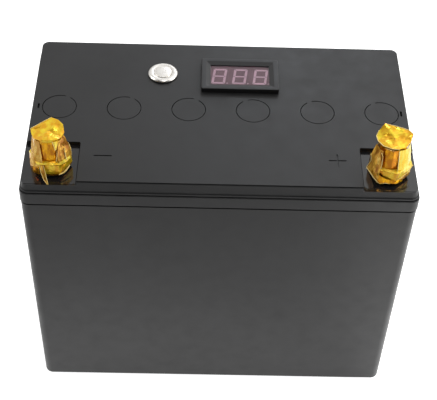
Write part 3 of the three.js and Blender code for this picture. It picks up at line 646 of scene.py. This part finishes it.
def corner_cuts(side, polarity):
    """What is cut from the lid at one end: the lowered corner with its lines, bore and vent slot."""
    slot = 110
    return [
        mirrored_block(
            "pocket", side, (POCKET_X, HALF_X + 9), (-HALF_Y - 9, POCKET_Y),
            (POCKET_FLOOR, LID_TOP + 1), 1.2,
        ),
        mirrored_block(
            "wall_groove", side, (POCKET_X, POCKET_X + 0.75), (FRONT_EDGE + 0.6, POCKET_Y - 0.5),
            (POCKET_FLOOR - 0.9, POCKET_FLOOR + 1),
        ),
        mirrored_block(
            "pocket_line", side, (POCKET_X + 0.3, HALF_X - SKIRT_INSET - 1.5), FRONT_LINE,
            (POCKET_FLOOR - 0.5, POCKET_FLOOR + 1),
        ),
        drill("bore", middle_mm(f"terminal_seal_{polarity}", POCKET_FLOOR), 5.2, -8, 3, 40),
        mirrored_block(
            "slot", side, (slot - 0.6, slot + 0.6), (-1.25, 3.25), (LID_TOP - 2, LID_TOP + 1), 0.5,
        ),
    ]


def lid_cover(look, smooth_look):
    """The finished lid."""
    obj = lid_body()
    cuts = polarity_cuts()
    cuts.append(block(
        "front_line",
        (-POCKET_X - 1, FRONT_LINE[0], LID_TOP - 0.6), (POCKET_X + 1, FRONT_LINE[1], LID_TOP + 1),
    ))
    ends = ((-1, "negative"), (1, "positive"))
    bosses = [
        mirrored_block(
            "boss", side, (POCKET_X - WALL, HALF_X - 6), (-HALF_Y + 6, POCKET_Y + WALL),
            (POCKET_FLOOR - 3.4, LID_TOP - 1),
        )
        for side, _ in ends
    ]
    for side, polarity in ends:
        cuts += corner_cuts(side, polarity)
    for i in range(1, 7):
        centre = middle_mm(f"vent_cap_{i}", LID_TOP)
        cuts.append(drill("sink", centre, 10.45, -1.8, 1, 72))
        cuts.append(drill("through", centre, 6.9, -6, 0, 40))
    cuts.append(drill("button_hole", middle_mm("button_bushing", LID_TOP), 8.25, -9, 1, 56))
    cuts.append(block(
        "meter_hole",
        (METER_LOW.x + 1.1, METER_LOW.y + 1, LID_TOP - 9),
        (METER_HIGH.x - 1.1, METER_HIGH.y - 1, LID_TOP + 1),
    ))
    combine(obj, bosses, "UNION")
    combine(obj, cuts, "DIFFERENCE")
    soften(obj, 0.16, 2, 42)
    finish_piece(obj, look, replaces=["lid"])
    obj.data.materials.append(smooth_look)
    for face in obj.data.polygons:
        centre = face.center / MM
        in_pocket = abs(centre.x) > POCKET_X - 0.1 and centre.y < POCKET_Y + 0.1
        if in_pocket and abs(centre.z - POCKET_FLOOR) < 0.15 and face.normal.z > 0.8:
            face.material_index = 1


def vent_caps(look):
    """Flush round caps in the lid, each welded across its groove at one place."""
    sink, plug, plug_bottom = 1.75, 6.6, -4.2
    for i in range(1, 7):
        node = f"vent_cap_{i}"
        low, high = box_mm(node)
        centre = middle_mm(node, LID_TOP)
        radius = (high.x - low.x) / 2
        turn = -26 if i <= 3 else 26
        cap = turned(node + "_disc", [
            (0, plug_bottom), (plug, plug_bottom), (plug, -sink), (radius, -sink),
            (radius, -0.15), (radius - 0.06, -0.05), (radius - 0.2, -0.01), (0, 0),
        ], 72, centre)
        welds = [
            block("weld", (-1.6, radius - 2, -sink), (1.6, radius + 0.62, -0.012), 0.2),
            block("spot", (-1.2, -radius - 0.62, -sink), (1.2, 2 - radius, -0.3), 0.2),
        ]
        for weld in welds:
            weld.data.transform(Matrix.Rotation(math.radians(turn), 4, "Z"))
            weld.data.transform(Matrix.Translation(Vector(centre) * MM))
        combine(cap, welds, "UNION")
        shade(cap, 30)
        weigh_normals(cap)
        finish_piece(cap, look, replaces=[node])


# ------------ push button
def push_button(look):
    """The threaded body with its domed flange, and the cap inside it."""
    centre = middle_mm("button_bushing", LID_TOP)
    bore, body, flange = 5.75, 7.95, 9.1
    thread = []
    z = -15.6
    while z < -0.8:
        thread += [(body, z), (body - 0.45, z + 0.4)]
        z += 0.8
    bushing = turned("button_body", [
        (bore, -8), (4.2, -8), (4.2, -16), (body - 0.4, -16), *thread,
        (body, 0.55), (flange - 0.12, 0.55), (flange, 0.66), (flange, 1.15), (flange - 0.08, 1.3),
        (flange - 0.95, 1.98), (flange - 1.2, 2.08), (flange - 1.5, 2.1),
        (bore + 0.32, 2.1), (bore + 0.1, 2.02), (bore, 1.8),
    ], 72, centre, 30)
    finish_piece(bushing, look, replaces=["button_bushing"])
    rim = bore - 0.15
    cap = turned("button_press_cap", [
        (0, -12), (2.5, -12), (2.5, -1.5), (rim, -1.5), (rim, 2.1), (rim - 0.08, 2.28),
        (rim - 0.3, 2.38), (rim - 0.55, 2.34), (rim - 0.8, 2.4),
        (rim - 2, 2.5), (rim - 4, 2.58), (0, 2.6),
    ], 72, centre, 30)
    finish_piece(cap, look, body="button", replaces=["button_cap"])


def button_spring(look):
    """The return spring."""
    low, high = box_mm("button_spring")
    wire = 0.4
    coil = (high.x - low.x) / 2 - wire
    centre = Vector(middle_mm("button_spring", 0))
    bottom, top = low.z + wire, high.z - wire
    turns, steps, sides = 4, 28, 8
    loops = []
    for i in range(turns * steps + 1):
        angle = 2 * math.pi * i / steps
        out = Vector((math.cos(angle), math.sin(angle), 0))
        middle = centre + out * coil + Vector((0, 0, bottom + (top - bottom) * i / (turns * steps)))
        loops.append([
            middle + out * (wire * math.cos(t)) - Vector((0, 0, wire * math.sin(t)))
            for t in (2 * math.pi * k / sides for k in range(sides))
        ])
    spring = loft("return_spring", loops, smooth_angle=60)
    finish_piece(spring, look, replaces=["button_spring"])
    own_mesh(spring)


# ------------ voltmeter
METER = Vector(middle_mm("voltmeter_bezel", LID_TOP))
DIGIT_HEIGHT = 14.2
DIGIT_WIDTH = 8.5
DIGIT_PITCH = 12.8
DIGIT_SLANT = math.radians(7.2)


def meter_bezel(look):
    """The frame and housing as one ring: outside, rim, sloping funnel, window edge and inside."""
    half_x, half_y = (METER_HIGH.x - METER_LOW.x) / 2, (METER_HIGH.y - METER_LOW.y) / 2
    body_x, body_y = 22.6, 13.2
    window_x, window_y = 18.3, 9.2
    slope = 2.6
    plate_base = 1.8
    sill = plate_base + 0.4
    top = METER_HIGH.z - LID_TOP
    centre = (METER.x, METER.y)
    rows = [
        (body_x, body_y, 0.8, METER_LOW.z - LID_TOP),
        (body_x, body_y, 0.8, 0.1),
        *((half_x - inset, half_y - inset, radius, z) for inset, radius, z in (
            (0.1, 0.9, 0.1), (0, 1.0, 0.25), (0, 1.0, top - 0.5),
            (0.1, 0.95, top - 0.2), (0.28, 0.9, top - 0.05), (0.5, 0.8, top),
        )),
        (window_x + slope + 0.25, window_y + slope + 0.25, 0.7, top),
        (window_x + slope, window_y + slope, 0.6, top - 0.12),
        (window_x + 0.2, window_y + 0.2, 0.4, sill + 0.06),
        (window_x, window_y, 0.3, sill - 0.05),
        (window_x, window_y, 0.3, plate_base),
        (body_x - 1.5, body_y - 1.5, 0.3, plate_base),
        (body_x - 1.5, body_y - 1.5, 0.3, METER_LOW.z - LID_TOP),
    ]
    loops = [rounded_rectangle(x, y, r, LID_TOP + z, 4, centre) for x, y, r, z in rows]
    obj = loft("meter_bezel", loops, closed=True, smooth_angle=25)
    weigh_normals(obj)
    finish_piece(obj, look, replaces=["voltmeter_bezel"])


def segment(start, end, width):
    """The outline of one segment, mitred at the digit's corners and pointed at its middle."""
    gap, corner_cut = 0.16, 0.25
    centre = Vector((DIGIT_WIDTH, DIGIT_HEIGHT)) / 2
    along = (Vector(end) - Vector(start)).normalized()
    a, b = Vector(start) + along * gap, Vector(end) - along * gap
    outward = Vector((-along.y, along.x))
    turned_round = outward.dot((a + b) / 2 - centre) < -0.1
    if turned_round:
        outward = -outward
    half = width / 2

    def reach(point):
        """How far an end's outer corner stands back from its tip, which is less at a mitre."""
        if abs(point.y - centre.y) > 1:
            return corner_cut - half
        return half if abs(along.x) > 0.5 else 0.1

    outline = [
        a, a + along * half - outward * half, b - along * half - outward * half,
        b, b - along * reach(b) + outward * half, a + along * reach(a) + outward * half,
    ]
    return outline[::-1] if turned_round else outline


def digit_outlines():
    """The seven segments and the point of one digit, about its lower left corner, upright."""
    upright, level, thin = 1.5, 1.45, 1.15
    dot_x, dot_y, dot_radius = DIGIT_WIDTH + 1.4, 0.6, 0.5
    left, right = upright / 2, DIGIT_WIDTH - upright / 2
    low, high = level / 2, DIGIT_HEIGHT - level / 2
    middle = DIGIT_HEIGHT / 2
    outlines = [
        segment((left, y), (right, y), width)
        for y, width in ((high, level), (middle, thin), (low, level))
    ]
    for x in (left, right):
        outlines += [segment((x, low), (x, middle), upright), segment((x, middle), (x, high), upright)]
    dot = [
        Vector((dot_x + dot_radius * math.cos(t), dot_y + dot_radius * math.sin(t)))
        for t in (math.pi * k / 6 for k in range(12))
    ]
    return [*outlines, dot]


def meter_display(face_look, segment_look):
    """The display block behind the window, with its unlit segments just proud of the face."""
    face = eased_box("meter_display", "voltmeter_display", 0.4, 0.12)
    finish_piece(face, face_look, replaces=["voltmeter_display"])
    face_z = box_mm("voltmeter_display")[1].z
    points, faces = [], []
    group = 2 * DIGIT_PITCH + DIGIT_WIDTH
    start = Vector((METER.x - group / 2, METER.y - 0.45 - DIGIT_HEIGHT / 2))
    lean = math.tan(DIGIT_SLANT)
    for digit in range(3):
        for outline in digit_outlines():
            flat = [
                start + Vector((digit * DIGIT_PITCH + p.x + (p.y - DIGIT_HEIGHT / 2) * lean, p.y))
                for p in outline
            ]
            loops = [[(p.x, p.y, z) for p in flat] for z in (face_z - 0.3, face_z + 0.02)]
            faces += skin(loops, first=len(points))
            points += [p for loop in loops for p in loop]
    digits = mesh_object("meter_digits", points, faces, 20)
    finish_piece(digits, segment_look)


def meter_window(look):
    pane = eased_box("meter_window", "voltmeter_window", 0.5, 0.12)
    finish_piece(pane, look, replaces=["voltmeter_window"])


# ------------ terminals
HEX_HALF = 10.0
HEX_CORNER = {"negative": 0, "positive": -78}  # where one corner of each hex base points
POST_RADII = {"negative": (8.6, 7.6), "positive": (9.0, 8.0)}  # at the foot and at the tip


def hex_radius(angle, polarity):
    """The distance from the axis to the side of a hex base at an angle in degrees."""
    away = (angle - HEX_CORNER[polarity]) % 60 - 30
    return HEX_HALF / math.cos(math.radians(away))


def terminal_post(polarity, look):
    """The brass post: flange, hex base with turned-off corners, and a tapering round post."""
    node = f"terminal_post_{polarity}"
    low, high = box_mm(node)
    centre = Vector(middle_mm(node, POCKET_FLOOR))
    foot, tip = POST_RADII[polarity]
    top = high.z - POCKET_FLOOR
    bottom = low.z - POCKET_FLOOR
    flange_low, hex_low, hex_top = 1.3, 2.9, 10.9
    stem, flange = 4.9, 9.3
    stud = turned(f"post_{polarity}", [
        (0, bottom), (stem - 0.6, bottom), (stem, bottom + 0.6), (stem, flange_low),
        (flange - 0.2, flange_low), (flange, flange_low + 0.2), (flange, hex_low + 0.3),
        (flange - 0.2, hex_low + 0.45), (foot, hex_low + 0.5),
        (foot, hex_top + 0.2), (tip, top - 1.2), (tip - 0.35, top - 0.4), (tip - 1.1, top), (0, top),
    ], 64, centre)
    loops = []
    for corner, z in ((-1.3, hex_low), (0, hex_low + 0.7), (0, hex_top - 0.7), (-1.3, hex_top)):
        limit = HEX_HALF / math.cos(math.pi / 6) + corner
        loop = []
        for i in range(72):
            turn = math.radians(5 * i)
            radius = min(hex_radius(5 * i, polarity), limit)
            loop.append(centre + Vector((radius * math.cos(turn), radius * math.sin(turn), z)))
        loops.append(loop)
    nut = loft("hex", loops, smooth_angle=20)
    combine(stud, [nut], "UNION")
    shade(stud, 24)
    finish_piece(stud, look, replaces=[node])


# ------------ film on the terminals
# DEEP is real layers of film and also painted shade; PALE, EDGE and BRIGHT are painted light
GILT, DEEP, LOOSE, PALE, EDGE, BRIGHT = range(6)  # the film's looks, in the order of its materials
FILM_THICKNESS = 0.09


class Film:
    """Sheets of creased film round one terminal, gathered into one piece.

    Points are in millimetres from the terminal's axis and from the floor of its corner.
    """

    def __init__(self, polarity, seed):
        self.polarity = polarity
        self.centre = Vector(middle_mm(f"terminal_post_{polarity}", POCKET_FLOOR))
        self.foot, self.tip = POST_RADII[polarity]
        self.random = random.Random(seed)
        self.graph = bmesh.new()
        self.offset = Vector((seed * 7.3, seed * 3.1, 0))

    def jitter(self, amount):
        return self.random.uniform(-amount, amount)

    def shake(self, point, amount):
        return Vector(point) + Vector([self.jitter(amount) for _ in range(3)])

    def gather(self, graph, look):
        """Adds a graph's faces to the film with one look."""
        for face in graph.faces:
            face.material_index = look
        mesh = bpy.data.meshes.new("sheet")
        graph.to_mesh(mesh)
        graph.free()
        self.graph.from_mesh(mesh)
        bpy.data.meshes.remove(mesh)

    def sheet(self, grid, look, closed=False, cuts=2, ease=0.12, crinkle=0.12):
        """Adds a sheet over a grid of points: creased triangles, cut finer and crinkled."""
        graph = bmesh.new()
        rows = [[graph.verts.new(self.centre + Vector(p)) for p in row] for row in grid]
        columns = len(rows[0])
        for j in range(len(rows) - 1):
            for i in range(columns if closed else columns - 1):
                m = (i + 1) % columns
                a, b, c, d = rows[j][i], rows[j][m], rows[j + 1][m], rows[j + 1][i]
                if self.random.random() < 0.5:
                    graph.faces.new((a, b, c))
                    graph.faces.new((a, c, d))
                else:
                    graph.faces.new((a, b, d))
                    graph.faces.new((b, c, d))
        for _ in range(cuts):
            bmesh.ops.subdivide_edges(graph, edges=graph.edges, cuts=1, use_grid_fill=True)
            bmesh.ops.smooth_vert(
                graph, verts=graph.verts, factor=ease,
                use_axis_x=True, use_axis_y=True, use_axis_z=True,
            )
        graph.normal_update()
        for vert in graph.verts:
            place = vert.co * 0.36 + self.offset
            fold = abs(noise.noise(place)) + 0.4 * abs(noise.noise(place * 2.6))
            vert.co += vert.normal * (fold - 0.25) * 2 * crinkle
        self.gather(graph, look)

    def at(self, angle, radius, height):
        """A point round the terminal: angle in degrees from +X, anticlockwise seen from above."""
        turn = math.radians(angle)
        return Vector((radius * math.cos(turn), radius * math.sin(turn), height))

    def neck(self):
        """Film drawn tight round the post, in flat strips between upright creases."""
        sides = 16
        grid = []
        levels = [10.9, 12.4, 16.5, 20.5, 24.8]
        angles = [360 * i / sides + self.jitter(5) for i in range(sides)]
        for height in levels:
            share = (height - levels[0]) / (levels[-1] - levels[0])
            radius = self.foot + (self.tip - self.foot) * share + 0.45
            grid.append([self.at(a, radius + self.jitter(0.1), height) for a in angles])
        # the whole neck takes the darker film look: painted shade for the dark surroundings its front
        # reflects
        self.sheet(grid, DEEP, True, 2, 0.05, 0.05)

    def base(self, hem, tuck, dark_until):
        """Film tight round the hex base, turned in over its top. Its tucked-in hem is painted shade in
        the darker film look, and its side takes that look too left of dark_until.
        """
        waist_z, shoulder_z, lip_z, crest_z = 6.8, 9.8, 10.8, 11.1
        corner = HEX_CORNER[self.polarity]
        angles = [corner + 60 * i + step for i in range(6) for step in (0, 20, 40)]

        def ring(height, clear, wobble):
            points = []
            for a in angles:
                radius = hex_radius(a, self.polarity) + clear + self.jitter(wobble)
                points.append(self.at(a, radius, height + self.jitter(wobble)))
            return points

        shoulder = ring(shoulder_z, 0.4, 0.06)
        # the tucked-in hem: painted shade in the darker film look
        self.sheet([ring(hem - tuck, tuck / 4, 0.25), ring(hem, 0.45, 0.12)], DEEP, True, 1, 0.05, 0.1)
        side = [ring(hem, 0.5, 0.12), ring(waist_z, 0.45, 0.12), shoulder]
        self.sheet(side, GILT, True, 2, 0.05, 0.1)
        for face in self.graph.faces:
            middle = face.calc_center_median() - self.centre
            if middle.z < 10.5 and middle.x < dark_until:
                face.material_index = DEEP
        lip = []
        for a in angles:
            forward = max(0.0, -math.sin(math.radians(a)))
            lip.append(self.at(a, hex_radius(a, self.polarity) + 0.4 + 0.8 * forward, lip_z))
        crest = ring(crest_z, 0, 0.06)
        turned_in = [self.at(a, self.foot - 0.1, crest_z + 0.15 + self.jitter(0.08)) for a in angles]
        self.sheet([shoulder, lip], GILT, True, 1, 0.05, 0.04)
        # the ridge turned in over the base: a painted highlight in the bright film look
        self.sheet([lip, crest, turned_in], BRIGHT, True, 2, 0.02, 0.05)

    def cap(self, outline, crown):
        """The film over the top, from its outline in to a crown and down to a hem."""
        crown, hem = Vector(crown), 2.4
        rim = [Vector(p) for p in outline]
        under = []
        for p in rim:
            flat = Vector((p.x, p.y, 0))
            inward = min(1.0, (self.tip + 0.75) / flat.length)
            under.append(flat * inward + Vector((0, 0, min(p.z, 25.4) - hem)))
        mid = [self.shake(p.lerp(crown, 0.3), 0.4) for p in rim]
        inner = [self.shake(p.lerp(crown, 0.66), 0.45) for p in rim]
        tip = [p.lerp(crown, 0.97) for p in rim]
        self.sheet([under, rim], GILT, True, 2, 0.04, 0.06)
        self.sheet([rim, mid, inner, tip], GILT, True, 2, 0.04, 0.16)

    def edge(self, points, width=0.28):
        """A thin pale bead along a cut edge or a sharp fold of the film: a painted highlight."""
        graph = bmesh.new()
        line = [self.centre + Vector(p) for p in points]
        rings = []
        for i, point in enumerate(line):
            along = (line[min(i + 1, len(line) - 1)] - line[max(i - 1, 0)]).normalized()
            across = along.cross(Vector((0.3, 0.2, 1))).normalized()
            other = along.cross(across)
            half = width / 2 * (0.55 if i in (0, len(line) - 1) else 1.0)
            rings.append([
                graph.verts.new(point + (across * math.cos(t) + other * math.sin(t)) * half)
                for t in (math.pi * k / 3 for k in range(6))
            ])
        for near_ring, far_ring in zip(rings, rings[1:]):
            for k in range(6):
                m = (k + 1) % 6
                graph.faces.new((near_ring[k], near_ring[m], far_ring[m], far_ring[k]))
        self.gather(graph, EDGE)

    def made(self, looks):
        """Turns the sheets and edges into one piece."""
        mesh = bpy.data.meshes.new(f"film_{self.polarity}")
        self.graph.to_mesh(mesh)
        self.graph.free()
        mesh.transform(Matrix.Scale(MM, 4))
        for look in looks:
            mesh.materials.append(look)
        obj = new_object(f"film_{self.polarity}", mesh)
        shell = obj.modifiers.new("film", "SOLIDIFY")
        shell.thickness = FILM_THICKNESS * MM
        shell.offset = 0
        settle(obj)
        shade(obj, 24)
        finish_piece(obj, replaces=[f"terminal_tape_{self.polarity}"])


def film_negative(looks):
    """The film on the negative terminal, flap by flap."""
    film = Film("negative", 3)
    film.neck()
    film.base(3, 1.3, -3)
    film.cap([
        (9, 0, 26), (8, 4.4, 28.2), (5, 7.4, 28.7), (1.2, 9.1, 28.8), (-4.5, 5.7, 27.4),
        (-10.2, 2.2, 26), (-9.2, -2, 25.6), (-7.8, -5.2, 25.6), (-4, -7.2, 26.2),
        (0.5, -7.8, 26.3), (5, -6.9, 26), (7.8, -3.4, 25.2),
    ], (0.4, 0.3, 26.8))
    # a wide flap on the left in the pale film look, painted light through the film, a creased one on
    # the right and a tongue between them in the bright film look, a painted highlight
    film.sheet([
        [(-9.4, 0.4, 25), (-7.6, -5, 25.2), (-4.2, -7.6, 25)],
        [(-10, -1.8, 17.5), (-7.6, -6, 17.5), (-3.6, -8.8, 17.5)],
        [(-10.8, -3.6, 11.5), (-8.4, -8, 12), (-3.2, -10, 12)],
        [(-11.2, -6.2, 7), (-8.4, -9.8, 7.5), (-3.8, -11.2, 9.5)],
    ], PALE, crinkle=0.2)
    film.sheet([
        [(5.4, -6.8, 24.6), (7.2, -4.8, 24.8), (8.8, -1, 25.2)],
        [(5.6, -8, 19.5), (8.9, -5.2, 19), (11.1, -2, 20)],
        [(5.4, -9.6, 14), (9.4, -7, 14.6), (12.3, -2.5, 16.4)],
        [(6.6, -10.2, 10.2), (10.2, -7.2, 10.4), (12.5, -3, 11.4)],
    ], LOOSE, crinkle=0.25)
    film.sheet([
        [(2.8, -8.2, 26.1), (4.2, -8, 25.9), (6, -6.8, 25.6)],
        [(3.6, -8.7, 23), (4.6, -8.7, 23), (5.7, -7.8, 23)],
        [(4.3, -8.9, 20.2), (4.6, -8.9, 20.1), (5, -8.7, 20.2)],
    ], BRIGHT, cuts=1)
    # layers on the left of the base, and a loose end in front
    film.sheet([
        [(-11.2, -3, 8.5), (-9.2, -8, 8.5), (-5, -10.9, 8.5)],
        [(-11.4, -5, 3), (-9.4, -9, 2.8), (-5.2, -11.4, 2.6)],
    ], DEEP)
    film.sheet([
        [(-5, -11.2, 10.8), (-2.7, -11.3, 10.5)],
        [(-4.3, -12.3, 6), (-1.8, -12.6, 5.7)],
        [(-2.7, -14.5, 2.2), (-1, -14.5, 2.3)],
        [(-0.7, -16.3, 0.4), (-0.1, -16.5, 0.3)],
    ], LOOSE, cuts=1)
    film.edge([(1.2, 9.2, 28.9), (-4.5, 5.8, 27.5), (-10.3, 2.2, 26.1), (-9.5, 0.4, 25)])
    film.edge([(3.1, -8.4, 26), (4.4, -9.1, 20.3)], 0.5)
    film.edge([(5.4, -9.2, 20), (5.2, -9.6, 16), (4.4, -10, 12)], 0.4)
    film.edge([(5.6, -11.2, 3.2), (7.8, -9.8, 3.4), (9.4, -8, 3.8), (11.3, -4.5, 4.6)], 0.8)
    film.edge([(-5, -11.4, 10.8), (-4.3, -12.5, 6), (-2.7, -14.7, 2.2), (-0.7, -16.5, 0.5)], 0.34)
    film.edge([(-2.7, -11.5, 10.5), (-1.8, -12.8, 5.8), (-1, -14.7, 2.4), (-0.2, -16.6, 0.5)], 0.34)
    # a fold over the right of the base, in the bright film look: a painted highlight
    film.sheet([
        [(6, -10, 12), (9.4, -8, 13), (11.8, -4.8, 13)],
        [(6.2, -11, 10.4), (9.6, -9, 10.8), (12.3, -5.2, 11.2)],
    ], BRIGHT, crinkle=0.3)
    film.edge([(9.1, -5.6, 19), (9.7, -7.4, 14.6), (10.4, -7.6, 10.4)], 0.6)
    film.edge([(11.1, -2, 20), (12.3, -2.5, 16.4), (12.6, -3, 11.4)], 0.36)
    film.edge([(5.4, -10, 10.9), (8.2, -8.9, 10.9), (10.6, -6, 11)], 0.6)
    film.made(looks)


def film_positive(looks):
    """The film on the positive terminal, flap by flap."""
    film = Film("positive", 11)
    film.neck()
    film.base(4.4, 2.2, -5)
    film.cap([
        (9.8, -0.8, 25.8), (11, 2.5, 28), (8.5, 5.5, 28.3), (1.8, 7.3, 29.2), (-5, 9, 30),
        (-8, 6.4, 27), (-9.5, 3.4, 25.4), (-8.8, -0.4, 25.2), (-6.4, -4.6, 25.4),
        (-1.8, -7.4, 25.8), (2.4, -7.6, 25.7), (6.8, -5.2, 25.2),
    ], (0.4, 0, 26.4))
    # a bright flap on the right in the bright film look, painted light, and a loose one on the left
    # with a narrow fold in the pale film look, also painted light
    film.sheet([
        [(2.4, -8.3, 25.4), (5.4, -7.2, 25), (7.4, -5.6, 24.8), (9.4, -1, 25.4)],
        [(2.8, -9.4, 18), (5.8, -8.4, 18), (8.4, -6.2, 18), (10.7, -0.8, 18)],
        [(2.9, -10.3, 12), (6, -9.4, 12), (9, -7, 12), (11.4, -1.6, 12)],
        [(2.9, -11.1, 4.9), (5.8, -9.6, 5.4), (9.6, -6.6, 7.1), (12.8, -2.4, 8.8)],
    ], BRIGHT, crinkle=0.25)
    film.sheet([
        [(-9.6, -1, 24.2), (-9, -3.6, 24), (-8, -5.8, 23.9), (-6.4, -7.3, 23.9)],
        [(-12.2, -3, 18), (-10.6, -5, 17.8), (-8.6, -7, 17.8), (-6.4, -8.3, 17.6)],
        [(-11.8, -4, 13), (-10.8, -6.6, 12.6), (-9, -8.4, 12.4), (-6.6, -9.6, 12.4)],
        [(-13.9, -4, 7.7), (-12, -7.1, 7), (-9.8, -9.2, 4.6), (-7.6, -11, 2.8)],
    ], LOOSE, crinkle=0.25)
    film.sheet([
        [(-8.5, -7.3, 22.9), (-8, -7.6, 22.5)],
        [(-9.7, -7.5, 17.9), (-7.2, -8.5, 17.5)],
        [(-8.9, -9, 14.9), (-8.3, -9.2, 14.6)],
    ], PALE)
    film.edge([(-5.1, 9.1, 30), (1.8, 7.4, 29.3), (8.5, 5.6, 28.4), (11.1, 2.5, 28.1)], 0.4)
    film.edge([
        (-8.1, 6.4, 27), (-9.7, 3.4, 25.4), (-9, -0.6, 25.2),
        (-6.5, -4.8, 25.4), (-1.8, -7.6, 25.8), (2.4, -7.8, 25.7),
    ], 0.4)
    film.edge([(2.3, -8.5, 25.4), (2.7, -9.6, 18), (2.8, -10.5, 12), (2.8, -11.3, 4.9)], 0.4)
    film.edge([(-14, -4, 7.7), (-12.1, -7.3, 7), (-9.9, -9.4, 4.6), (-7.6, -11.2, 2.8)], 0.6)
    # the torn hem round the front, in the darker film look: painted shade under the base
    film.sheet([
        [
            (-9.8, -8.8, 7.4), (-7.4, -9.8, 7.6), (-4.2, -11, 6),
            (-0.6, -11.4, 5), (3, -11.4, 4.6), (6.4, -10, 5),
        ],
        [
            (-8.4, -10.4, 2.6), (-6, -11.5, 2.1), (-3.4, -11.6, 2.8),
            (-0.4, -12, 2.6), (3.2, -12, 2.4), (7, -10.2, 3),
        ],
    ], DEEP, cuts=1)
    film.edge([(-8.4, -10.6, 2.6), (-6, -11.7, 2.1), (-3.4, -11.8, 2.8), (-0.4, -12.2, 2.6)], 0.34)
    film.edge([(2.8, -11.3, 4.8), (5.8, -9.8, 5.3), (9.6, -6.8, 7), (12.9, -2.4, 8.7)], 0.6)
    film.edge([(-7.6, -8.2, 23), (-6.5, -8.6, 20.4)], 0.7)
    film.edge([(-6.5, -8.6, 20.2), (-6.5, -9.2, 16), (-6.7, -9.8, 12.4)], 0.34)
    film.edge([(-12.3, -3, 18), (-11.9, -4, 13), (-13.9, -4, 7.9)], 0.4)
    film.made(looks)


# ------------ inside pieces
def foam_piece(name, node, look, edge):
    """A foam block with soft edges in the place of its CAD node."""
    obj = eased_box(name, node, edge, edge * 0.45, 3, edge / 4)
    finish_piece(obj, look, replaces=[node])


def inside(foam, finishes):
    """Gives every carried-over CAD node inside the case its own finish and eased edges.

    Each finish is a look and the starts of the names of the nodes that have it.
    """
    foam_piece("pad_under_cells", "base_pad", foam, 1.0)
    for side in ("left", "right"):
        foam_piece(f"foam_{side}", f"end_foam_{side}", foam, 3.0)
    look_of = {start: look for look, starts in finishes for start in starts.split()}
    for name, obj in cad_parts.items():
        if obj.hide_render:
            continue
        found = next(start for start in look_of if name.startswith(start))
        obj.data.materials.clear()
        obj.data.materials.append(look_of[found])
        ease_edges(obj, 0.15, 1, 50)


# ------------ making it all
camera()
studio()

abs_look = black_abs()
brass_look = brass()
steel_look = satin_steel()
film_looks = [
    film_over_brass("film_over_brass", (0.86, 0.42, 0.005), (1.0, 0.74, 0.03), 0.5),
    # the darker film: real layers in places, and painted shade on the neck and the tucked-in hems
    film_over_brass("film_layers_and_painted_shade", (0.5, 0.17, 0.001), (0.98, 0.48, 0.006), 0.85),
    loose_film(),
    film_with_painted_light("pale_film", (0.68, 0.32, 0.02), (1.0, 0.64, 0.13)),
    film_edge_highlight(),
    film_with_painted_light("bright_film", (1.0, 0.62, 0.02), (1.0, 0.82, 0.1)),
]

case_shell(abs_look)
lid_cover(abs_look, pocket_abs())
vent_caps(abs_look)
push_button(steel_look)
button_spring(metal("spring_wire", (0.5, 0.5, 0.5), (0.68, 0.68, 0.68), 0.22, 0.38))
meter_bezel(bezel_plastic())
meter_display(
    plastic("display_face", (0.2, 0.115, 0.145), (0.25, 0.155, 0.19), 0.45, 0.6),
    plastic("display_segment", (0.82, 0.68, 0.77), (0.94, 0.8, 0.89), 0.4, 0.55),
)
meter_window(window())
for polarity in ("negative", "positive"):
    terminal_post(polarity, brass_look)
film_negative(film_looks)
film_positive(film_looks)
foam_look = plastic(
    "closed_cell_foam", (0.04, 0.04, 0.042), (0.07, 0.07, 0.074), 0.85, 0.98, 1.1, 0.12,
)
inside(foam_look, [
    (plastic("rubber", (0.012, 0.012, 0.012), (0.022, 0.022, 0.022), 0.6, 0.8),
     "terminal_seal button_seal"),
    (metal("zinc_plate", (0.5, 0.5, 0.47), (0.68, 0.68, 0.65), 0.28, 0.45),
     "terminal_washer button_nut lug_bolt"),
    (metal("tin_plate", (0.55, 0.54, 0.5), (0.72, 0.7, 0.66), 0.25, 0.4),
     "terminal_lug cell_lug"),
    (metal("rolled_aluminium", (0.6, 0.6, 0.61), (0.78, 0.78, 0.79), 0.25, 0.42),
     "series_busbar end_busbar bms_heatsink"),
    (brass_look, "terminal_nut"),
    (plastic("nylon", (0.014, 0.014, 0.014), (0.026, 0.026, 0.025), 0.45, 0.6),
     "button_contact_block"),
    (board(), "voltmeter_board bms_board"),
    (plastic("filament_tape", (0.5, 0.46, 0.36), (0.66, 0.62, 0.5), 0.35, 0.5, 0.6, 0.03),
     "cell_strap"),
    (plastic("fibre_sheet", (0.36, 0.28, 0.13), (0.52, 0.42, 0.21), 0.6, 0.8, 0.7, 0.03),
     "cell_separator insulation_sheet"),
    (plastic("cell_film", (0.018, 0.07, 0.24), (0.03, 0.11, 0.34), 0.22, 0.38, 6, 0.05),
     "cell_1 cell_2 cell_3 cell_4"),
    (plastic("red_silicone", (0.3, 0.01, 0.008), (0.42, 0.02, 0.016), 0.42, 0.6),
     "positive_cable meter_button_wire button_positive_wire"),
    (plastic("black_silicone", (0.01, 0.01, 0.01), (0.018, 0.018, 0.018), 0.42, 0.6),
     "load_cable cell_cable meter_negative_wire"),
    (plastic("white_insulation", (0.6, 0.58, 0.52), (0.76, 0.74, 0.68), 0.4, 0.55),
     "balance_harness"),
])
